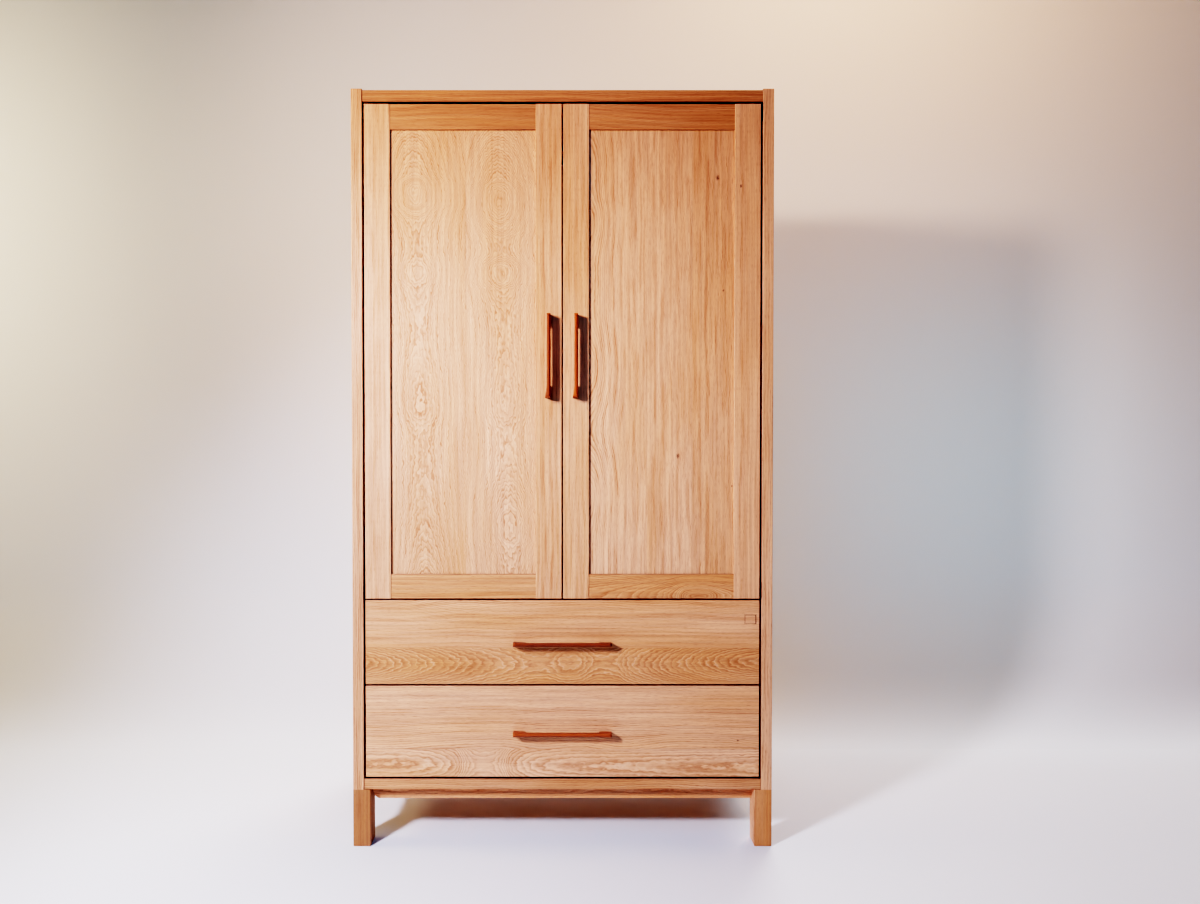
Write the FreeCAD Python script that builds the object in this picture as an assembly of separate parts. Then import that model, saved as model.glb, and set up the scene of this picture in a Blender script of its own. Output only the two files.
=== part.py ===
"""Oak wardrobe: two framed doors over two dovetailed drawers, in a case that stands on a low leg frame.

Sizes are in millimetres. +X points to the right of someone who faces the doors, +Y from the doors
to the back, and +Z up. The origin is on the floor, in the middle of the whole footprint.
"""

import FreeCAD
import Part
import math
import os

from FreeCAD import Vector

# Case
overall_width = 1055.0
overall_height = 1900.0
case_depth = 580.0
side_thickness = 28.0
top_thickness = 29.0
top_drop = 3.0
bottom_thickness = 27.0
front_setback = 3.0
arris_radius = 1.2
side_arris_radius = 2.2

# Fixed shelf between the hanging space and the drawers
shelf_thickness = 24.0
shelf_lap = 10.0
shelf_setback = 4.0
housing_depth = 8.0

# Back panel
back_thickness = 8.0
back_recess = 2.0
rebate_depth = 12.0
back_slack = 0.5

# Leg frame
leg_height = 144.0
leg_width = 44.0
leg_depth = 58.0
leg_foot_radius = 2.5
apron_height = 35.0
apron_thickness = 20.0
apron_setback = 36.0
apron_corner_radius = 18.0
side_apron_inset = 6.0
apron_tenon_thickness = 9.0
apron_tenon_length = 16.0
apron_tenon_shoulder = 6.0

# Doors and drawer fronts
front_thickness = 22.0
side_gap = 4.0
middle_gap = 3.5
top_gap = 5.0
row_gap = 3.5
bottom_gap = 4.5
stile_width = 65.0
top_rail_width = 64.0
bottom_rail_width = 61.5
rail_setback = 1.5
door_panel_thickness = 10.0
door_panel_recess = 6.5
door_groove_depth = 11.0
door_panel_slack = 1.5
door_tenon_length = 34.0
door_tenon_shoulder = 10.0

# Pivots that the doors turn on
pivot_inset = 10.0
pivot_setback = 8.5
pivot_pin_radius = 3.0
pivot_pin_reach = 10.0
pivot_running_fit = 0.05
pivot_ear_thickness = 2.0
pivot_ear_radius = 7.0
pivot_leaf_thickness = 2.5
pivot_leaf_height = 46.0
pivot_leaf_depth = 22.0
pivot_leaf_radius = 3.0
pivot_leaf_screw_inset = 10.0
bush_radius = 5.0
bush_length = 12.0
bush_flange_radius = 7.5
bush_flange_thickness = 1.2

# Drawers
upper_front_height = 212.5
lower_front_height = 231.0
drawer_back_clearance = 35.0
drawer_side_thickness = 15.0
drawer_back_thickness = 14.0
drawer_side_lift = 6.0
drawer_side_drop = 24.0
drawer_back_drop = 9.0
drawer_bottom_thickness = 6.0
drawer_bottom_inset = 11.0
drawer_bottom_groove = 6.0
front_lap = 7.0
tail_count = 5
tail_slope = 1.0 / 7.0
pin_width = 11.0

# Wooden runners that the drawers hang on
runner_height = 14.0
groove_depth = 7.0
groove_start = 12.0
slide_clearance = 0.3
runner_screw_inset = 40.0
runner_screw_count = 3

# Pulls
handle_projection = 34.0
handle_thickness = 9.3
handle_flare = 4.0
handle_bevel = 4.2
handle_bar_depth = 18.0
handle_post_length = 30.5
handle_slot_radius = 4.0
handle_arris_radius = 1.0
door_handle_length = 208.5
drawer_handle_length = 246.0
drawer_handle_flare = 2.0
drawer_handle_lean = 5.4
door_handle_height = 1234.3

# Hanging rail and its sockets
rail_radius = 12.5
rail_wall = 1.5
rail_drop = 62.0
rail_end_play = 0.3
socket_flange_radius = 30.0
socket_flange_thickness = 3.5
socket_cup_wall = 3.0
socket_cup_length = 16.0
socket_fit = 0.2
socket_screw_count = 3
socket_screw_circle_radius = 23.0

# Magnetic catches behind the meeting stiles
catch_width = 40.0
catch_depth = 16.0
catch_height = 21.0
catch_arris_radius = 2.0
catch_gap = 0.3
catch_screw_spacing = 26.0
catch_pole_width = 24.0
catch_pole_height = 2.0
catch_pole_depth = 1.0
catch_pole_pitch = 6.0
strike_width = 30.0
strike_height = 12.0
strike_thickness = 1.2
strike_corner_radius = 3.0
strike_drop = 1.5

# Dowels
dowel_radius = 4.0
dowel_length = 38.0
dowel_side_depth = 14.0
dowel_end_bevel = 0.8
dowel_count = 5
dowel_end_inset = 50.0
dowel_fit = 0.1
leg_dowel_inset = 13.0
leg_dowel_spacing = 19.0

# Wood screws and handle screws
screw_radius = 1.75
screw_head_radius = 3.6
screw_head_height = 2.2
screw_recess_width = 0.9
screw_recess_length = 4.2
screw_recess_depth = 1.2
screw_fit = 0.05
fitting_screw_length = 18.0
runner_screw_length = 24.0
back_screw_length = 26.0
back_screw_rows = 7
back_screw_columns = 5
apron_screw_length = 45.0
apron_screw_radius = 2.25
apron_screw_head_radius = 4.5
apron_screw_sink = 8.0
apron_screw_count = 3
apron_screw_end_inset = 90.0
handle_screw_radius = 2.0
handle_screw_head_radius = 4.2
handle_screw_head_height = 2.4
handle_screw_bite = 16.0
handle_screw_lean_share = 0.75

# Clearance of glued and housed joints, and the overrun of cuts past a face
joint_fit = 0.1
overrun = 5.0

# Places that follow from the sizes above
half_width = overall_width / 2
inner_half = half_width - side_thickness
handle_stand_out = handle_projection - front_setback
case_front = handle_stand_out - (case_depth + handle_stand_out) / 2
case_back = case_front + case_depth
case_middle = (case_front + case_back) / 2
face_y = case_front + front_setback
front_back_y = face_y + front_thickness
shelf_front = front_back_y + shelf_setback
panel_front = case_back - back_recess - back_thickness

base_z = leg_height
bottom_top = base_z + bottom_thickness
lower_z = (bottom_top + bottom_gap, bottom_top + bottom_gap + lower_front_height)
upper_z = (lower_z[1] + row_gap, lower_z[1] + row_gap + upper_front_height)
top_z = (overall_height - top_drop - top_thickness, overall_height - top_drop)
door_z = (upper_z[1] + row_gap, top_z[0] - top_gap)
shelf_z = (door_z[0] + shelf_lap - shelf_thickness, door_z[0] + shelf_lap)
back_z = (bottom_top - rebate_depth, top_z[0] + rebate_depth)
back_half = inner_half + rebate_depth

door_outer_x = -inner_half + side_gap
door_inner_x = -middle_gap / 2
pivot_x = door_outer_x + pivot_inset
pivot_y = face_y + pivot_setback
rail_y = (front_back_y + panel_front) / 2
rail_z = top_z[0] - rail_drop

X = Vector(1, 0, 0)
Y = Vector(0, 1, 0)
Z = Vector(0, 0, 1)


def block(x, y, z):
    """A plain board that spans the three pairs of limits."""
    size = (x[1] - x[0], y[1] - y[0], z[1] - z[0])
    return Part.makeBox(*size, Vector(x[0], y[0], z[0]))


def grown(x, y, z, by):
    """The board of block(), larger by a clearance on every side."""
    return block(*[(low - by, high + by) for low, high in (x, y, z)])


def eased_block(x, y, z, radius, edges):
    """A board whose named edges are rounded. An edge is named by its two faces, such as 'front left'."""
    faces = {
        "left": (0, x[0]), "right": (0, x[1]),
        "front": (1, y[0]), "back": (1, y[1]),
        "bottom": (2, z[0]), "top": (2, z[1]),
    }
    board = block(x, y, z)
    chosen = []
    for pair in edges:
        wanted = [faces[word] for word in pair.split()]
        for edge in board.Edges:
            middle = edge.BoundBox.Center
            if all(abs(middle[axis] - place) < joint_fit for axis, place in wanted):
                chosen.append(edge)
    return board.makeFillet(radius, chosen)


def mirrored(shape):
    """The same piece on the other side of the wardrobe's middle."""
    return shape.mirror(Vector(), X)


def spread(first, last, count):
    """Evenly spaced places from the first to the last."""
    step = (last - first) / (count - 1)
    return [first + step * number for number in range(count)]


def wood_screw(at, direction, length, radius=screw_radius, head_radius=screw_head_radius):
    """A countersunk wood screw with a cross recess. Its head's flat lies at the given point."""
    head = Part.makeCone(head_radius, radius, screw_head_height)
    shank = Part.makeCylinder(radius, length)
    screw = head.fuse(shank)
    half_length = screw_recess_length / 2
    half_width_of_slot = screw_recess_width / 2
    for along, across in ((half_length, half_width_of_slot), (half_width_of_slot, half_length)):
        screw = screw.cut(block((-along, along), (-across, across), (-overrun, screw_recess_depth)))
    screw.Placement = FreeCAD.Placement(at, FreeCAD.Rotation(Z, direction))
    return screw


def screw_hole(at, direction, length, radius=screw_radius, head_radius=screw_head_radius):
    """The countersunk hole of a wood screw."""
    head = Part.makeCone(head_radius + screw_fit, radius + screw_fit, screw_head_height, at, direction)
    shank = Part.makeCylinder(radius + screw_fit, length + screw_fit, at, direction)
    return head.fuse(shank)


def without(shape, cutters):
    """The shape with every cutter taken away."""
    for cutter in cutters:
        shape = shape.cut(cutter)
    return shape


# Dowels: each has a point in the joint's plane and the direction that leads into the side or leg

def dowel(at, direction):
    """A fluted dowel's plain outline, with bevelled ends. The point is the joint's plane."""
    radius = dowel_radius - dowel_fit
    start = at + direction * (dowel_side_depth - dowel_fit)
    pin = Part.makeCylinder(radius, dowel_length, start, -direction)
    ends = [edge for edge in pin.Edges if edge.Closed]
    return pin.makeChamfer(dowel_end_bevel, ends)


def dowel_hole(at, direction):
    """The hole for a dowel, through both pieces of its joint."""
    start = at + direction * dowel_side_depth
    return Part.makeCylinder(dowel_radius, dowel_length + dowel_fit, start, -direction)


def case_dowel_places():
    """Dowels of the left side: top board, bottom board and the two legs below it."""
    places = []
    for z in ((top_z[0] + top_z[1]) / 2, (base_z + bottom_top) / 2):
        for y in spread(face_y + dowel_end_inset, panel_front - dowel_end_inset, dowel_count):
            places.append((Vector(-inner_half, y, z), -X))
    side_middle = -half_width + side_thickness / 2
    for inset in (leg_dowel_inset, leg_dowel_inset + leg_dowel_spacing):
        for y in (case_front + inset, case_back - inset):
            places.append((Vector(side_middle, y, base_z), Z))
    return places


def dowel_holes(both_sides):
    """Cutters for the dowels of the left side, or of both sides."""
    holes = [dowel_hole(at, direction) for at, direction in case_dowel_places()]
    return holes + [mirrored(hole) for hole in holes] if both_sides else holes


# Screws that hold the fittings, runners and back panel

def bracket_ear_z():
    """Height limits of the ears of the lower and the upper pivot bracket."""
    lower = (upper_z[1] + door_z[0]) / 2
    upper = (door_z[1] + top_z[0]) / 2
    half = pivot_ear_thickness / 2
    return (lower - half, lower + half), (upper - half, upper + half)


def bracket_leaf_z():
    """Height limits of the leaves of the lower and the upper pivot bracket."""
    lower_ear, upper_ear = bracket_ear_z()
    return (lower_ear[0], lower_ear[0] + pivot_leaf_height), (upper_ear[1] - pivot_leaf_height, upper_ear[1])


def bracket_screw_places():
    """Screws of the two pivot brackets on the left side."""
    places = []
    lower_leaf, upper_leaf = bracket_leaf_z()
    lower_holes = (lower_leaf[1] - pivot_leaf_screw_inset, lower_leaf[0] + pivot_leaf_screw_inset * 2)
    upper_holes = (upper_leaf[0] + pivot_leaf_screw_inset, upper_leaf[1] - pivot_leaf_screw_inset * 2)
    for z in lower_holes + upper_holes:
        places.append((Vector(-inner_half, pivot_y, z), -X))
    return places


def socket_screw_places():
    """Screws of the hanging rail's left socket, on a circle."""
    places = []
    for number in range(socket_screw_count):
        angle = 2 * math.pi * number / socket_screw_count + math.pi / 2
        y = rail_y + socket_screw_circle_radius * math.cos(angle)
        z = rail_z + socket_screw_circle_radius * math.sin(angle)
        places.append((Vector(-inner_half + socket_flange_thickness, y, z), -X))
    return places


def catch_x():
    """Middle of the left door's catch: the middle of its meeting stile."""
    return door_inner_x - stile_width / 2


def catch_front():
    """Front face of the catches, clear of the strike plates."""
    return front_back_y + strike_thickness + catch_gap


def catch_screw_places():
    """Screws that hold the left catch under the top board."""
    y = catch_front() + catch_depth / 2
    z = top_z[0] - catch_height
    half = catch_screw_spacing / 2
    return [(Vector(catch_x() + shift, y, z), Z) for shift in (-half, half)]


def runner_limits(front_z):
    """Limits of the left runner of the drawer whose front has these height limits."""
    side_z = drawer_side_z(front_z)
    middle = (side_z[0] + side_z[1]) / 2
    half = runner_height / 2
    start = front_back_y + groove_start + slide_clearance
    thickness = side_gap + groove_depth - slide_clearance
    x = (-inner_half, -inner_half + thickness)
    return x, (start, drawer_back_y()[1]), (middle - half, middle + half)


def runner_screw_places(front_z):
    """Screws that hold the left runner to the case side."""
    x, y, z = runner_limits(front_z)
    middle = (z[0] + z[1]) / 2
    rows = spread(y[0] + runner_screw_inset, y[1] - runner_screw_inset, runner_screw_count)
    return [(Vector(x[1], row, middle), -X) for row in rows]


def back_screw_places():
    """Screws of the back panel: up both edges and across the shelf."""
    y = panel_front + back_thickness
    x = inner_half + rebate_depth / 2
    rows = spread(back_z[0] + dowel_end_inset, back_z[1] - dowel_end_inset, back_screw_rows)
    places = [Vector(sign * x, y, z) for sign in (-1, 1) for z in rows]
    shelf_middle = (shelf_z[0] + shelf_z[1]) / 2
    columns = spread(-inner_half + dowel_end_inset, inner_half - dowel_end_inset, back_screw_columns)
    return [(at, -Y) for at in places + [Vector(column, y, shelf_middle) for column in columns]]


def apron_screw_places():
    """Screws up through the front and rear aprons into the bottom board."""
    inset = apron_setback + apron_thickness / 2
    reach = half_width - leg_width - apron_screw_end_inset
    z = base_z - apron_height + apron_screw_sink
    columns = spread(-reach, reach, apron_screw_count)
    return [(Vector(x, y, z), Z) for y in (case_front + inset, case_back - inset) for x in columns]


def fitting_screws_of_left_side():
    """Places and lengths of the small screws on the left half of the case."""
    short = bracket_screw_places() + socket_screw_places()
    long = runner_screw_places(lower_z) + runner_screw_places(upper_z)
    catch = [(at, direction, catch_height + fitting_screw_length) for at, direction in catch_screw_places()]
    side = [(at, direction, fitting_screw_length) for at, direction in short]
    side += [(at, direction, runner_screw_length) for at, direction in long]
    return side, catch


# Case

def pivot_leaf_block(leaf_z):
    """A pivot bracket's leaf, let into the left side's inner face."""
    x = (-inner_half - pivot_leaf_thickness, -inner_half)
    y = (pivot_y - pivot_leaf_depth / 2, pivot_y + pivot_leaf_depth / 2)
    leaf = block(x, y, leaf_z)
    corners = [edge for edge in leaf.Edges if abs(edge.BoundBox.XLength - pivot_leaf_thickness) < joint_fit]
    return leaf.makeFillet(pivot_leaf_radius, corners)


def left_side():
    """Side board: housed shelf, rebated back, dowel holes, and recesses for the pivot leaves."""
    edges = ["front left", "front right", "left top", "right top", "front top"]
    x = (-half_width, -inner_half)
    board = eased_block(x, (case_front, case_back), (base_z, overall_height), side_arris_radius, edges)
    housing = block((-inner_half - housing_depth, -inner_half + overrun), (shelf_front, panel_front), shelf_z)
    rebate = block((-back_half, -inner_half + overrun), (panel_front, case_back + overrun), back_z)
    leaves = [pivot_leaf_block(leaf_z) for leaf_z in bracket_leaf_z()]
    side_screws, _ = fitting_screws_of_left_side()
    pilots = [screw_hole(*place) for place in side_screws]
    pilots += [screw_hole(at, direction, back_screw_length) for at, direction in back_screw_places()]
    return without(board, [housing, rebate] + leaves + pilots + dowel_holes(False))


def top_board():
    """Top board between the sides, with a rebate below its rear edge."""
    board = eased_block(
        (-inner_half, inner_half), (face_y, case_back), top_z, arris_radius, ["front top", "front bottom"]
    )
    rebate = block((-inner_half, inner_half), (panel_front, case_back + overrun), (top_z[0], back_z[1]))
    _, catch = fitting_screws_of_left_side()
    pilots = [screw_hole(*place) for place in catch]
    pilots += [mirrored(pilot) for pilot in pilots]
    return without(board, [rebate] + pilots + dowel_holes(True))


def bottom_board():
    """Bottom board between the sides, with a rebate above its rear edge."""
    board = eased_block(
        (-inner_half, inner_half), (face_y, case_back), (base_z, bottom_top), arris_radius,
        ["front top", "front bottom"],
    )
    rebate = block((-inner_half, inner_half), (panel_front, case_back + overrun), (back_z[0], bottom_top))
    pilots = [apron_screw_hole(*place) for place in apron_screw_places()]
    return without(board, [rebate] + pilots + dowel_holes(True))


def fixed_shelf():
    """Shelf that floors the hanging space, housed in both sides."""
    half = inner_half + housing_depth - joint_fit
    shelf = eased_block(
        (-half, half), (shelf_front, panel_front), shelf_z, arris_radius, ["front top", "front bottom"]
    )
    pilots = [screw_hole(at, direction, back_screw_length) for at, direction in back_screw_places()]
    return without(shelf, pilots)


def back_panel():
    """Thin panel in the rebates of the sides, top and bottom."""
    half = back_half - back_slack
    z = (back_z[0] + back_slack, back_z[1] - back_slack)
    panel = block((-half, half), (panel_front, panel_front + back_thickness), z)
    holes = [screw_hole(at, direction, back_screw_length) for at, direction in back_screw_places()]
    return without(panel, holes)


# Leg frame

def front_apron_tenons():
    """Limits of the front apron's tenon in the left leg."""
    shoulder = -half_width + leg_width
    middle = case_front + apron_setback + apron_thickness / 2
    half = apron_tenon_thickness / 2
    z = (base_z - apron_height + apron_corner_radius, base_z - apron_tenon_shoulder)
    return (shoulder - apron_tenon_length, shoulder), (middle - half, middle + half), z


def side_apron_tenons():
    """Limits of the left apron's tenon in the front leg."""
    shoulder = case_front + leg_depth
    middle = -half_width + side_apron_inset + apron_thickness / 2
    half = apron_tenon_thickness / 2
    z = (base_z - apron_height + apron_tenon_shoulder, base_z - apron_tenon_shoulder)
    return (middle - half, middle + half), (shoulder - apron_tenon_length, shoulder), z


def to_rear(shape):
    """The same piece at the back of the case."""
    return shape.mirror(Vector(0, case_middle, 0), Y)


def front_left_leg():
    """Square leg with two mortises and two dowel holes."""
    uprights = ["front left", "front right", "back left", "back right"]
    feet = ["front bottom", "back bottom", "left bottom", "right bottom"]
    leg = eased_block(
        (-half_width, -half_width + leg_width), (case_front, case_front + leg_depth), (0, leg_height),
        leg_foot_radius, uprights + feet,
    )
    mortises = []
    for x, y, z in (front_apron_tenons(), side_apron_tenons()):
        mortises.append(grown(x, y, z, joint_fit))
    return without(leg, mortises + dowel_holes(False))


def front_apron(rounded_corners):
    """Apron between the front legs, with a tenon at each end and the named corners rounded."""
    half = half_width - leg_width
    y = (case_front + apron_setback, case_front + apron_setback + apron_thickness)
    z = (base_z - apron_height, base_z)
    rail = block((-half, half), y, z)
    if rounded_corners:
        rail = eased_block((-half, half), y, z, apron_corner_radius, rounded_corners)
    tenon = block(*front_apron_tenons())
    rail = rail.fuse([tenon, mirrored(tenon)]).removeSplitter()
    return without(rail, [apron_screw_hole(*place) for place in apron_screw_places()])


def left_apron():
    """Apron between the front and rear leg of the left side."""
    x = (-half_width + side_apron_inset, -half_width + side_apron_inset + apron_thickness)
    y = (case_front + leg_depth, case_back - leg_depth)
    tenon = block(*side_apron_tenons())
    return block(x, y, (base_z - apron_height, base_z)).fuse([tenon, to_rear(tenon)]).removeSplitter()


def apron_screw_hole(at, direction):
    """Counterbored hole for a screw that pulls the apron up to the bottom board."""
    shaft = screw_hole(at, direction, apron_screw_length, apron_screw_radius, apron_screw_head_radius)
    sink_radius = apron_screw_head_radius + screw_fit
    return shaft.fuse(Part.makeCylinder(sink_radius, apron_screw_sink + overrun, at, -direction))


# Doors. The left door is made, and the right one is its mirror image but for the pull

def door_panel_limits():
    """Limits of the left door's panel, which floats in the frame's grooves."""
    reach = door_groove_depth - door_panel_slack
    x = (door_outer_x + stile_width - reach, door_inner_x - stile_width + reach)
    y = (face_y + door_panel_recess, face_y + door_panel_recess + door_panel_thickness)
    return x, y, (door_z[0] + bottom_rail_width - reach, door_z[1] - top_rail_width + reach)


def door_panel_groove():
    """The groove that the panel floats in, as one cutter for the whole frame."""
    x, y, z = door_panel_limits()
    groove_x = (x[0] - door_panel_slack, x[1] + door_panel_slack)
    groove_y = (y[0] - joint_fit, y[1] + joint_fit)
    return block(groove_x, groove_y, (z[0] - door_panel_slack, z[1] + door_panel_slack))


def door_rail_z():
    """Height limits of the door's bottom and top rails."""
    return (door_z[0], door_z[0] + bottom_rail_width), (door_z[1] - top_rail_width, door_z[1])


def door_tenon_limits(rail_z):
    """Limits of a rail's two tenons, shoulders included."""
    x = (door_outer_x + stile_width - door_tenon_length, door_inner_x - stile_width + door_tenon_length)
    _, y, _ = door_panel_limits()
    if rail_z[0] == door_z[0]:
        return x, y, (rail_z[0] + door_tenon_shoulder, rail_z[1] - door_groove_depth)
    return x, y, (rail_z[0] + door_groove_depth, rail_z[1] - door_tenon_shoulder)


def door_mortises():
    """Cutters for the four mortises of a door's stiles."""
    cutters = []
    for rail_z in door_rail_z():
        cutters.append(grown(*door_tenon_limits(rail_z), joint_fit))
    return cutters


def door_handle_screw_places():
    """Points on the back of the meeting stile where the pull's screws enter."""
    reach = door_handle_length / 2 - handle_post_length / 2
    x = door_inner_x - stile_width / 2
    return [Vector(x, front_back_y, door_handle_height + shift) for shift in (-reach, reach)]


def door_hinge_stile():
    """Outer stile of the left door, bored at both ends for the pivot bushes."""
    edges = ["front left", "back left", "front right", "front top", "front bottom"]
    stile = eased_block(
        (door_outer_x, door_outer_x + stile_width), (face_y, front_back_y), door_z, arris_radius, edges
    )
    bores = [bush_seat(door_z[0], Z), bush_seat(door_z[1], -Z)]
    return without(stile, [door_panel_groove()] + door_mortises() + bores)


def door_meeting_stile():
    """Inner stile of the left door, drilled for the pull and the strike plate."""
    edges = ["front left", "back right", "front right", "front top", "front bottom"]
    stile = eased_block(
        (door_inner_x - stile_width, door_inner_x), (face_y, front_back_y), door_z, arris_radius, edges
    )
    holes = [handle_screw_hole(at) for at in door_handle_screw_places()]
    return without(stile, [door_panel_groove()] + door_mortises() + holes)


def door_rail(rail_z):
    """A rail of the left door, with a tenon at each end and the panel's groove."""
    inner_edge = "front top" if rail_z[0] == door_z[0] else "front bottom"
    outer_edge = "front bottom" if rail_z[0] == door_z[0] else "front top"
    x = (door_outer_x + stile_width, door_inner_x - stile_width)
    y = (face_y + rail_setback, front_back_y)
    rail = eased_block(x, y, rail_z, arris_radius, [inner_edge, outer_edge])
    tenons = block(*door_tenon_limits(rail_z))
    return rail.fuse(tenons).removeSplitter().cut(door_panel_groove())


def door_panel():
    """Flat panel of the left door."""
    return block(*door_panel_limits())


def bush_seat(end_z, inward):
    """Bore and counterbore for a pivot bush, from one end of the hinge stile."""
    at = Vector(pivot_x, pivot_y, end_z)
    bore = Part.makeCylinder(bush_radius, bush_length, at, inward)
    return bore.fuse(Part.makeCylinder(bush_flange_radius, bush_flange_thickness, at, inward))


def pivot_bush(end_z, inward):
    """Flanged bush that a pivot pin turns in."""
    at = Vector(pivot_x, pivot_y, end_z)
    body = Part.makeCylinder(bush_radius, bush_length, at, inward)
    flange = Part.makeCylinder(bush_flange_radius, bush_flange_thickness, at, inward)
    bore = Part.makeCylinder(
        pivot_pin_radius + pivot_running_fit, bush_length + overrun * 2, at - inward * overrun, inward
    )
    return body.fuse(flange).removeSplitter().cut(bore)


def pivot_bracket(leaf_z, ear_z, inward):
    """Steel bracket: a leaf let into the case side, and an ear with the pin that the door turns on."""
    leaf = pivot_leaf_block(leaf_z)
    ear_x = (-inner_half - pivot_leaf_thickness, pivot_x)
    ear = block(ear_x, (pivot_y - pivot_ear_radius, pivot_y + pivot_ear_radius), ear_z)
    nose = Part.makeCylinder(pivot_ear_radius, pivot_ear_thickness, Vector(pivot_x, pivot_y, ear_z[0]))
    foot = ear_z[1] if inward.z > 0 else ear_z[0]
    door_end = door_z[0] if inward.z > 0 else door_z[1]
    pin_length = abs(door_end - foot) + pivot_pin_reach
    pin = Part.makeCylinder(pivot_pin_radius, pin_length, Vector(pivot_x, pivot_y, foot), inward)
    bracket = leaf.fuse([ear, nose, pin]).removeSplitter()
    return without(bracket, [screw_hole(at, way, fitting_screw_length) for at, way in bracket_screw_places()])


def left_pivot_brackets():
    """The lower and upper pivot brackets of the left door."""
    lower_leaf, upper_leaf = bracket_leaf_z()
    lower_ear, upper_ear = bracket_ear_z()
    return [pivot_bracket(lower_leaf, lower_ear, Z), pivot_bracket(upper_leaf, upper_ear, -Z)]


def left_catch():
    """Magnetic catch under the top board, with two steel poles in its face."""
    x = (catch_x() - catch_width / 2, catch_x() + catch_width / 2)
    y = (catch_front(), catch_front() + catch_depth)
    z = (top_z[0] - catch_height, top_z[0])
    case = eased_block(x, y, z, catch_arris_radius, ["front left", "front right", "back left", "back right"])
    strike_middle = (z[0] + door_z[1]) / 2
    grooves = []
    for middle in (strike_middle - catch_pole_pitch / 2, strike_middle + catch_pole_pitch / 2):
        pole_x = (catch_x() - catch_pole_width / 2, catch_x() + catch_pole_width / 2)
        pole_z = (middle - catch_pole_height / 2, middle + catch_pole_height / 2)
        grooves.append(block(pole_x, (y[0] - overrun, y[0] + catch_pole_depth), pole_z))
    _, screws = fitting_screws_of_left_side()
    return without(case, grooves + [screw_hole(*place) for place in screws])


def strike_plate():
    """Steel plate on the back of the left door that its catch holds."""
    top = door_z[1] - strike_drop
    x = (catch_x() - strike_width / 2, catch_x() + strike_width / 2)
    plate = block(x, (front_back_y, front_back_y + strike_thickness), (top - strike_height, top))
    corners = [edge for edge in plate.Edges if abs(edge.BoundBox.YLength - strike_thickness) < joint_fit]
    return plate.makeFillet(strike_corner_radius, corners)


# Pulls

def pull(length, flare, lean):
    """
    Wooden pull along X: a bar on two posts, the left one flared upward.

    Its foot is on the plane Y = 0, and its front stands higher than its foot by the lean.
    """
    half = length / 2
    side = handle_thickness / 2
    corners = ((-half, -side), (-half, side + flare), (handle_post_length - half, side), (half, side))
    foot = [Vector(x, 0, z - lean) for x, z in corners + ((half, -side),)]
    body = Part.Face(Part.makePolygon(foot + foot[:1])).extrude(Vector(0, -handle_projection, lean))
    return bevelled_pull(body, half).cut(pull_slot(half - handle_post_length))


def bevelled_pull(body, half):
    """The pull's blank with its lower edge and both ends bevelled at the front, and its arrises eased."""
    side = handle_thickness / 2
    front = [edge for edge in body.Edges if edge.BoundBox.YMax < -handle_bar_depth]
    ends = [edge for edge in front if abs(edge.BoundBox.Center.x) > half - joint_fit]
    lower = [edge for edge in front if edge.BoundBox.ZMax < -side + joint_fit]
    body = body.makeChamfer(handle_bevel, ends + lower)
    eased = [edge for edge in body.Edges if edge.BoundBox.YMax < joint_fit - handle_projection]
    return body.makeFillet(handle_arris_radius, eased)


def pull_slot(slot_half):
    """Cutter for the finger gap between a pull's posts."""
    reach = handle_thickness + handle_flare
    slot_front = -handle_projection + handle_bar_depth
    slot = block((-slot_half, slot_half), (slot_front, overrun), (-reach, reach))
    inner = [
        edge for edge in slot.Edges
        if abs(edge.BoundBox.ZLength - reach * 2) < joint_fit and edge.BoundBox.YMax < 0
    ]
    return slot.makeFillet(handle_slot_radius, inner)


def handle_screw(at):
    """Pan-head screw from behind a front into a pull's post. The point is on the back of the front."""
    head = Part.makeCylinder(handle_screw_head_radius, handle_screw_head_height, at, Y)
    rims = [edge for edge in head.Edges if edge.Closed and edge.BoundBox.YMin > at.y]
    head = head.makeFillet(handle_screw_head_height / 2, rims)
    length = front_thickness + handle_screw_bite
    return head.fuse(Part.makeCylinder(handle_screw_radius, length, at, -Y))


def handle_screw_hole(at):
    """Hole for a handle screw, through the front and into the post."""
    length = front_thickness + handle_screw_bite + screw_fit
    return Part.makeCylinder(handle_screw_radius + screw_fit, length, at, -Y)


def door_handle():
    """Upright pull in the middle of the left door's meeting stile."""
    handle = pull(door_handle_length, handle_flare, 0)
    handle.rotate(Vector(), Y, -90)
    handle.translate(Vector(door_inner_x - stile_width / 2, face_y, door_handle_height))
    return without(handle, [handle_screw_hole(at) for at in door_handle_screw_places()])


def right_door_handle():
    """The same pull on the right door, moved across and not mirrored."""
    return door_handle().translated(Vector(stile_width - door_inner_x * 2, 0, 0))


# Drawers

def drawer_side_z(front_z):
    """Height limits of a drawer's sides."""
    return front_z[0] + drawer_side_lift, front_z[1] - drawer_side_drop


def drawer_side_x():
    """Limits of a drawer's left side across the case."""
    return door_outer_x, door_outer_x + drawer_side_thickness


def drawer_back_y():
    """Limits of a drawer's back along its depth."""
    end = panel_front - drawer_back_clearance
    return end - drawer_back_thickness, end


def drawer_bottom_limits(front_z):
    """Limits of a drawer's bottom, which slides in under the back."""
    z = drawer_side_z(front_z)[0] + drawer_bottom_inset
    half = -drawer_side_x()[1] + drawer_bottom_groove
    y = (front_back_y - drawer_bottom_groove, drawer_back_y()[1])
    return (-half, half), y, (z, z + drawer_bottom_thickness)


def drawer_back_z(front_z):
    """Height limits of a drawer's back: from the bottom's upper face to below the sides' top edge."""
    return drawer_bottom_limits(front_z)[2][1], drawer_side_z(front_z)[1] - drawer_back_drop


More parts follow.
